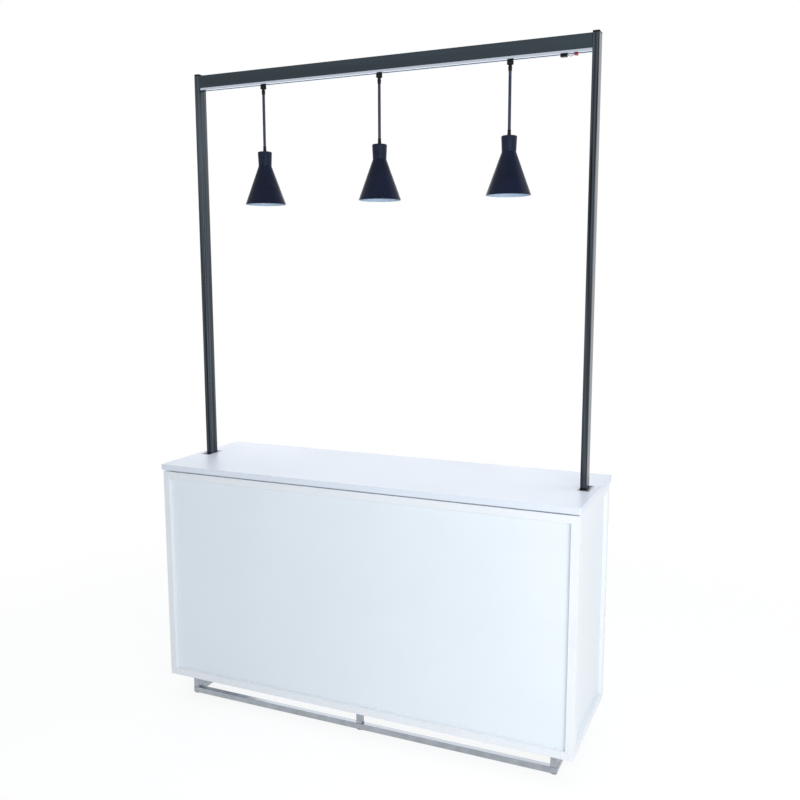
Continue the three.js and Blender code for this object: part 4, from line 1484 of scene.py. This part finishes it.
@dataclass
class Lamp:
    """A cone lamp on a stem whose ball swivels in a cup under the track.

    Lengths below the ball are counted down from the ball's middle.

    Attributes:
        seat: Room where one piece rests on another.
        fit: Room round what passes through a hole.
        cup_radius: Radius of the cup.
        cup_eases: Rounding of the cup's shoulder and of its lip.
        cup_groove: From the cup's top to its groove, the groove's depth and the height of its floor.
        lip: The cup ends this far below the ball's middle.
        play: Room between the ball and the cup.
        stud: Radius of the stud through the track's slot.
        clamp: Thickness of the clamp behind the track's lips.
        hug: Room between the ball and the sleeve.
        sleeve: Length from the ball's middle to the end of the black sleeve.
        sleeve_radii: Radius of the sleeve at the ball, at its widest and at its end.
        flare: From the ball's middle down to the sleeve's widest point.
        ribs: Number of grooves in the sleeve.
        rib_start: From the sleeve's end up to the first groove.
        rib_pitch: From one groove to the next.
        rib: Depth of a groove and height of its floor.
        stem: Length of the bare stem.
        stem_radius: Radius of the bare stem.
        gland: Length of the black gland on the neck.
        gland_radii: Radius of the gland at its top and at its foot.
        nut: How far the gland's nut stands out.
        nut_height: Height of that nut.
        gland_foot: Height of the gland's foot.
        thread: Radius of the thread that passes through the neck.
        wall: Wall of the neck and of the shade.
        neck_end: Radius of the neck where it meets the shade.
        shoulder: Rounding of the neck's upper edge.
        collar: Radius of the lampholder's body.
        bore: Radius of the hole for the bulb's base.
        flange: Thickness of the flange that the shade hangs on.
        glaze: Easing of the flange's edges.
        shade_turn: Rounding of the shade's upper edge.
        rim_roll: Radius of the shade's rolled rim.
        rim_out: Where the outer cone meets the rim: in from its edge, and up.
        rim_in: Where the inner cone meets the rim: in from its edge, and up.
        bulb_base: Radius of the bulb's base.
        bulb_contact: Radius of the contact on top of the base.
        bulb_cap: From the bulb's top down to the end of the contact's taper, and to the base's full width.
        bulb_neck: From the bulb's top down to the end of the base.
        bulb_face: Height of the bulb's domed face.
    """

    seat: float = 0.2 * MM
    fit: float = 0.3 * MM
    cup_radius: float = 12.5 * MM
    cup_eases: Point = (5 * MM, 2.2 * MM)
    cup_groove: Place = (6 * MM, 0.5 * MM, 0.8 * MM)
    lip: float = 4 * MM
    play: float = 0.7 * MM
    stud: float = 5 * MM
    clamp: float = 2.5 * MM
    hug: float = 0.3 * MM
    sleeve: float = 27 * MM
    sleeve_radii: Place = (6 * MM, 7.7 * MM, 6.8 * MM)
    flare: float = 13 * MM
    ribs: int = 3
    rib_start: float = 9 * MM
    rib_pitch: float = 2.4 * MM
    rib: Point = (0.4 * MM, 0.5 * MM)
    stem: float = 212 * MM
    stem_radius: float = 5.8 * MM
    gland: float = 22 * MM
    gland_radii: Point = (6.3 * MM, 8 * MM)
    nut: float = 0.6 * MM
    nut_height: float = 5 * MM
    gland_foot: float = 3 * MM
    thread: float = 5 * MM
    wall: float = 1.5 * MM
    neck_end: float = 27.5 * MM
    shoulder: float = 4.5 * MM
    collar: float = 18 * MM
    bore: float = 13.3 * MM
    flange: float = 3 * MM
    glaze: float = 0.5 * MM
    shade_turn: float = 1.2 * MM
    rim_roll: float = 1.6 * MM
    rim_out: Point = (0.9 * MM, 3.84 * MM)
    rim_in: Point = (2.56 * MM, 3.52 * MM)
    bulb_base: float = 13 * MM
    bulb_contact: float = 5 * MM
    bulb_cap: Point = (4 * MM, 6 * MM)
    bulb_neck: float = 56 * MM
    bulb_face: float = 14 * MM

    def build(self, shop: Workshop) -> None:
        """Models the middle lamp and copies it for the two others.

        Args:
            shop: Where the pieces are fitted.
        """
        centre = Box.of("swivel_ball_centre").centre
        pieces = {
            "swivel_cup": self.cup(centre),
            "swivel_ball": self.ball(centre),
            "lamp_stem": self.stem_piece(centre),
            "lamp_neck": self.neck(centre),
            "lampholder": self.holder(centre),
            "lamp_shade": self.shade(centre),
            "lamp_bulb": self.bulb(centre),
        }
        for name, piece in pieces.items():
            for place in (LampPlace.LEFT, LampPlace.RIGHT):
                move = Box.of(f"swivel_ball_{place.value}").centre - centre
                shop.fit(Bench.copy(piece, Matrix.Translation(move)), f"{name}_{place.value}")
            shop.fit(piece, f"{name}_{LampPlace.CENTRE.value}")

    @staticmethod
    def heights(node: str, centre: Vector) -> Point:
        """Lowest and highest point of a node, counted from the ball's middle."""
        space = Box.of(node)
        return space.low.z - centre.z, space.high.z - centre.z

    def cup(self, centre: Vector) -> Object:
        """Models the cup, the stud and the clamp inside the track.

        Args:
            centre: Middle of the ball.

        Returns:
            The cup.
        """
        space, ball = Box.of("swivel_cup_centre"), Box.of("swivel_ball_centre")
        top = Box.of("light_track").low.z - self.seat - centre.z
        radius, pocket = self.cup_radius, ball.size.z / 2 + self.play
        ease, lip_ease = self.cup_eases
        start, depth, flat = self.cup_groove
        lip_angle = math.degrees(math.asin(self.lip / pocket))
        bowl = Bench.revolve([
            (0.0, top), (radius - ease, top), *arc((radius - ease, top - ease), ease, 82.0, 0.0, 8),
            *groove(radius, top - start, depth, flat),
            *arc((radius - lip_ease, -self.lip + lip_ease), lip_ease, 0.0, -90.0, 5),
            *arc((0.0, 0.0), pocket, -lip_angle, 90.0, 14),
        ], centre, 48)
        low, high = top - MM, space.high.z - centre.z - MM
        stud = Bench.revolve([(0.0, low), (self.stud, low), (self.stud, high), (0.0, high)], centre, 24)
        plate = Bench.block(space.span(Axis.Z, space.high.z - self.clamp, space.high.z), EASE)
        return Bench.soften(Bench.paint(Bench.join([bowl, stud, plate]), BLACK_PLASTIC))

    def ball(self, centre: Vector) -> Object:
        """Models the ball.

        Args:
            centre: Its middle.

        Returns:
            The ball.
        """
        radius = Box.of("swivel_ball_centre").size.z / 2
        ball = Bench.revolve(arc((0.0, 0.0), radius, -90.0, 90.0, 24), centre, 40)
        return Bench.soften(Bench.paint(ball, BLACK_PLASTIC), weighted=False)

    def stem_piece(self, centre: Vector) -> Object:
        """Models the stem: a flared, ribbed sleeve that hugs the ball, a bare rod and a gland.

        Args:
            centre: Middle of the ball.

        Returns:
            The stem.
        """
        hug = Box.of("swivel_ball_centre").size.z / 2 + self.hug
        top, wide, end = self.sleeve_radii
        reach = math.degrees(math.asin(top / hug))
        stem_top, gland_top = -self.sleeve, -self.sleeve - self.stem
        low, _ = self.heights("lamp_stem_centre", centre)
        slope = (wide - end) / (self.sleeve - self.flare)
        ribs = []
        for i in range(self.ribs):
            up = self.rib_start - i * self.rib_pitch
            ribs += groove(end + up * slope, stem_top + up, *self.rib)
        profile = [*arc((0.0, 0.0), hug, -90.0, -90.0 + reach, 8), (wide, -self.flare), *ribs,
                   (end, stem_top + EASE), (end - EASE, stem_top), (self.stem_radius, stem_top),
                   (self.stem_radius, gland_top), *self.gland_section(gland_top), (self.thread, low),
                   (0.0, low)]
        piece = Bench.paint(Bench.revolve(profile, centre, 32), BLACK_PLASTIC)
        Bench.paint(piece, STEM_PAINT, lambda middle, _: gland_top < middle.z - centre.z < stem_top)
        return Bench.soften(piece, 40.0, weighted=False)

    def gland_section(self, top: float) -> list[Point]:
        """Half section of the gland: a nut, a waist that widens downwards and a foot on the neck.

        Args:
            top: Height of the gland's top.

        Returns:
            Points from the top down to the thread.
        """
        narrow, broad = self.gland_radii
        nut, height = self.nut, self.nut_height
        seat = top - self.gland + self.seat
        step = seat + self.gland_foot
        return [(narrow, top), (narrow + nut, top - nut), (narrow + nut, top - height),
                (narrow, top - height - EASE), (narrow + nut / 2, top - 2 * height), (broad - nut, step + MM),
                (broad, step), (broad, seat), (self.thread, seat)]

    def neck(self, centre: Vector) -> Object:
        """Models the neck: a capped taper with a rounded shoulder.

        Args:
            centre: Middle of the ball.

        Returns:
            The neck.
        """
        low, top = self.heights("lamp_neck_centre", centre)
        radius, turn, wall = Box.of("lamp_neck_centre").size.x / 2, self.shoulder, self.wall
        hole = self.thread + self.fit
        profile = [(hole, top), (radius - turn, top), *arc((radius - turn, top - turn), turn, 80.0, -4.0, 8),
                   (self.neck_end, low), (self.neck_end - wall, low), (radius - wall, top - turn),
                   (radius - turn, top - wall), (hole, top - wall), (hole, top)]
        return Bench.soften(Bench.paint(Bench.revolve(profile, centre), NECK_PAINT), 40.0, weighted=False)

    def holder(self, centre: Vector) -> Object:
        """Models the glazed lampholder with the flange that carries the shade.

        Args:
            centre: Middle of the ball.

        Returns:
            The lampholder.
        """
        low, top = self.heights("lampholder_centre", centre)
        seat = self.heights("lamp_shade_centre", centre)[1] - self.wall - self.seat
        thread_end = self.heights("lamp_stem_centre", centre)[0] - self.seat
        bulb_top = self.heights("lamp_bulb_centre", centre)[1] + self.seat
        rim, body, edge = Box.of("lampholder_centre").size.x / 2, self.collar, self.glaze
        under, hole = seat - self.flange, self.thread + self.fit
        profile = [(0.0, thread_end), (hole, thread_end), (hole, top), (body - MM, top), (body, top - MM),
                   (body, seat), (rim - edge, seat), (rim, seat - edge), (rim, under + edge),
                   (rim - edge, under), (body, under), (body, low + MM), (body - MM, low), (self.bore, low),
                   (self.bore, bulb_top), (0.0, bulb_top)]
        return Bench.soften(Bench.paint(Bench.revolve(profile, centre, 40), HOLDER_CERAMIC), weighted=False)

    def shade(self, centre: Vector) -> Object:
        """Models the cone shade with a rolled rim, dark outside and white inside.

        Args:
            centre: Middle of the ball.

        Returns:
            The shade.
        """
        low, top = self.heights("lamp_shade_centre", centre)
        rim, roll, wall = Box.of("lamp_shade_centre").size.x / 2, self.rim_roll, self.wall
        hole, turn = self.collar + self.fit, self.shade_turn
        profile = [(hole, top), (self.neck_end - turn, top),
                   *arc((self.neck_end - turn, top - turn), turn, 80.0, 22.0, 4),
                   (rim - self.rim_out[0], low + self.rim_out[1]),
                   *arc((rim - roll, low + roll), roll, 25.0, -180.0, 14),
                   (rim - self.rim_in[0], low + self.rim_in[1]),
                   (self.neck_end - wall, top - wall), (hole, top - wall), (hole, top)]
        piece = Bench.paint(Bench.revolve(profile, centre, 96), SHADE_PAINT)
        halfway = centre.z + (low + top) / 2

        def inside(middle: Vector, normal: Vector) -> bool:
            """Says whether a face looks into the shade."""
            out = Vector((middle.x - centre.x, middle.y - centre.y, 0.0)).normalized()
            return normal.dot(out) < -0.2 or (normal.z < -0.9 and middle.z > halfway)

        return Bench.soften(Bench.paint(piece, SHADE_ENAMEL, inside), 40.0, weighted=False)

    def bulb(self, centre: Vector) -> Object:
        """Models the reflector bulb: a mirrored body and a frosted face.

        Args:
            centre: Middle of the ball.

        Returns:
            The bulb.
        """
        low, top = self.heights("lamp_bulb_centre", centre)
        base, wide, face = self.bulb_base, Box.of("lamp_bulb_centre").size.x / 2, self.bulb_face
        neck, edge = top - self.bulb_neck, low + face
        shares = [i / 12 for i in range(1, 13)]
        flare = [(base + (wide - base) * math.sin(t * math.pi / 2), neck + (edge - neck) * t) for t in shares]
        turns = [t * math.pi / 2 for t in shares[:-1]]
        dome = [(wide * math.cos(turn), edge - face * math.sin(turn)) for turn in turns]
        taper, full = self.bulb_cap
        profile = [(0.0, top), (self.bulb_contact, top), (base - MM, top - taper), (base, top - full),
                   (base, neck), *flare, *dome, (0.0, low)]
        piece = Bench.paint(Bench.revolve(profile, centre, 48), BULB_MIRROR)
        Bench.paint(piece, BULB_GLASS, lambda middle, _: middle.z - centre.z < edge)
        return Bench.soften(piece, 50.0, weighted=False)


# Studio


@dataclass(frozen=True)
class SoftLight:
    """A soft square light.

    Attributes:
        name: Name of the light.
        place: Where it hangs.
        aim: Point that it faces.
        width: Width of its square.
        power: Its power in watts.
    """

    name: str
    place: Place
    aim: Place
    width: float
    power: float

    def hang(self) -> None:
        """Adds the light to the scene."""
        data = bpy.data.lights.new(self.name, "AREA")
        data.size = self.width
        data.energy = self.power
        light = bpy.data.objects.new(self.name, data)
        light.location = self.place
        light.rotation_euler = (Vector(self.aim) - Vector(self.place)).to_track_quat("-Z", "Y").to_euler()
        bpy.context.scene.collection.objects.link(light)


LIGHTS = (
    SoftLight("key", (2.6, -2.9, 1.7), (0.6, -0.2, 0.6), 2.0, 64.0),
    SoftLight("side", (3.4, 0.9, 3.2), (0.9, 0.0, 0.9), 2.0, 17.0),
    SoftLight("top", (-0.3, 0.2, 5.6), (-0.2, 0.0, 1.0), 3.4, 50.0),
    SoftLight("rear", (-2.2, 4.8, 2.6), (0.0, 0.0, 1.0), 4.6, 60.0),
)


@dataclass
class Studio:
    """Pale floor, soft lights and the camera.

    Attributes:
        eye: Place of the camera.
        turn: How far the camera looks to the left of +Y, in degrees.
        dip: How far it looks down, in degrees.
        roll: How far it is turned about its own axis, in degrees.
        lens: Focal length, in millimetres.
        sensor: Width of the sensor, in millimetres.
        far: How far the camera sees.
        sky: Colour of the even light from all round.
        world: Strength of that light.
        floor: Width of the floor.
        floor_gap: The floor lies this far under the feet, so that their faces don't share a plane.
        floor_colour: Colour of the floor where it catches light and shadow.
        floor_roughness: Roughness of the floor.
        shadow_radius: Where the floor starts to turn plain white, and where it is plain white.
        shadow_depth: Share of the shadow that shows on the floor.
        shadow_lift: Brightness that the shadow is mixed with.
    """

    eye: Place = (1.5537, -3.2942, 1.8863)
    turn: float = 23.9
    dip: float = 8.22
    roll: float = -0.11
    lens: float = 39.71
    sensor: float = 36.0
    far: float = 200.0
    sky: Colour = (0.91, 0.96, 1.0)
    world: float = 0.5
    floor: float = 60.0
    floor_gap: float = 0.4 * MM
    floor_colour: Colour = (0.88, 0.89, 0.9)
    floor_roughness: float = 0.9
    shadow_radius: Point = (1.6, 3.4)
    shadow_depth: float = 0.2
    shadow_lift: float = 1.06

    def build(self) -> None:
        """Sets up the camera, the lights and the floor."""
        self.camera()
        self.backdrop()
        self.ground()
        for light in LIGHTS:
            light.hang()

    def camera(self) -> None:
        """Places the camera at the photographed viewing angle."""
        data = bpy.data.cameras.new("camera")
        data.lens = self.lens
        data.sensor_width = self.sensor
        data.clip_end = self.far
        camera = bpy.data.objects.new("camera", data)
        camera.location = self.eye
        level = Matrix.Rotation(math.radians(90.0 - self.dip), 4, "X")
        spin = Matrix.Rotation(math.radians(self.roll), 4, "Z")
        camera.rotation_euler = (Matrix.Rotation(math.radians(self.turn), 4, "Z") @ level @ spin).to_euler()
        bpy.context.scene.collection.objects.link(camera)
        bpy.context.scene.camera = camera

    def backdrop(self) -> None:
        """Makes the world an even light that shows as plain white."""
        world = bpy.data.worlds.new("studio")
        bpy.context.scene.world = world
        world.use_nodes = True
        tree = world.node_tree
        light = tree.nodes["Background"]
        light.inputs["Color"].default_value = (*self.sky, 1.0)
        light.inputs["Strength"].default_value = self.world
        white = tree.nodes.new("ShaderNodeBackground")
        white.inputs["Color"].default_value = (1.0, 1.0, 1.0, 1.0)
        mix = tree.nodes.new("ShaderNodeMixShader")
        tree.links.new(self.seen(tree), mix.inputs["Fac"])
        tree.links.new(light.outputs["Background"], mix.inputs[1])
        tree.links.new(white.outputs["Background"], mix.inputs[2])
        tree.links.new(mix.outputs["Shader"], tree.nodes["World Output"].inputs["Surface"])

    @staticmethod
    def seen(tree: bpy.types.NodeTree) -> bpy.types.NodeSocket:
        """Adds a switch that is on where the camera, a reflection or glass looks.

        Args:
            tree: Node tree of the world or of a material.

        Returns:
            The socket that is 1 for those rays and 0 for the light that falls on the object.
        """
        path = tree.nodes.new("ShaderNodeLightPath")
        socket = path.outputs["Is Camera Ray"]
        for name in ("Is Glossy Ray", "Is Transmission Ray"):
            either = tree.nodes.new("ShaderNodeMath")
            either.operation = "MAXIMUM"
            tree.links.new(socket, either.inputs[0])
            tree.links.new(path.outputs[name], either.inputs[1])
            socket = either.outputs["Value"]
        return socket

    def ground(self) -> None:
        """Lays a white floor that keeps the soft shadow round the object."""
        Bench.clear()
        bpy.ops.mesh.primitive_plane_add(size=self.floor, location=(0.0, 0.0, -self.floor_gap))
        floor = bpy.context.active_object
        floor.name = "floor"
        material = bpy.data.materials.new("pale_floor")
        material.use_nodes = True
        tree = material.node_tree
        shader = tree.nodes["Principled BSDF"]
        shader.inputs["Base Color"].default_value = (*self.floor_colour, 1.0)
        shader.inputs["Roughness"].default_value = self.floor_roughness
        shader.inputs["Specular IOR Level"].default_value = 0.0
        white = tree.nodes.new("ShaderNodeEmission")
        near = tree.nodes.new("ShaderNodeEmission")
        near.inputs["Strength"].default_value = self.shadow_lift
        shadow = tree.nodes.new("ShaderNodeMixShader")
        shadow.inputs["Fac"].default_value = 1.0 - self.shadow_depth
        far = tree.nodes.new("ShaderNodeMixShader")
        view = tree.nodes.new("ShaderNodeMixShader")
        tree.links.new(shader.outputs["BSDF"], shadow.inputs[1])
        tree.links.new(near.outputs["Emission"], shadow.inputs[2])
        tree.links.new(self.distance(tree), far.inputs["Fac"])
        tree.links.new(shadow.outputs["Shader"], far.inputs[1])
        tree.links.new(white.outputs["Emission"], far.inputs[2])
        tree.links.new(self.seen(tree), view.inputs["Fac"])
        tree.links.new(shader.outputs["BSDF"], view.inputs[1])
        tree.links.new(far.outputs["Shader"], view.inputs[2])
        tree.links.new(view.outputs["Shader"], tree.nodes["Material Output"].inputs["Surface"])
        floor.data.materials.append(material)

    def distance(self, tree: bpy.types.NodeTree) -> bpy.types.NodeSocket:
        """Adds a value that grows from 0 to 1 with the distance from the object's middle.

        Args:
            tree: Node tree of the floor's material.

        Returns:
            The socket with that value.
        """
        place = tree.nodes.new("ShaderNodeTexCoord")
        length = tree.nodes.new("ShaderNodeVectorMath")
        length.operation = "LENGTH"
        remap = tree.nodes.new("ShaderNodeMapRange")
        remap.interpolation_type = "SMOOTHSTEP"
        remap.inputs["From Min"].default_value = self.shadow_radius[0]
        remap.inputs["From Max"].default_value = self.shadow_radius[1]
        tree.links.new(place.outputs["Object"], length.inputs[0])
        tree.links.new(length.outputs["Value"], remap.inputs["Value"])
        return remap.outputs["Result"]


def main() -> None:
    """Builds the bar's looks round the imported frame."""
    logging.basicConfig(level=logging.INFO, format="%(name)s: %(message)s")
    shop = Workshop(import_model())
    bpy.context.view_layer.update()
    bpy.context.scene.view_settings.view_transform = "Standard"
    Studio().build()
    FrontFrame().build(shop)
    WingFrame().build(shop)
    LongHinge().build(shop)
    FramedPanel().build(shop, "front", Axis.Y)
    for side in Side:
        FramedPanel().build(shop, side.word, Axis.X)
    CounterTop().build(shop)
    PostSocket().build(shop)
    Gantry().build(shop)
    TrackLead().build(shop)
    Lamp().build(shop)
    Bench.clear()


if __name__ == "__main__":
    main()
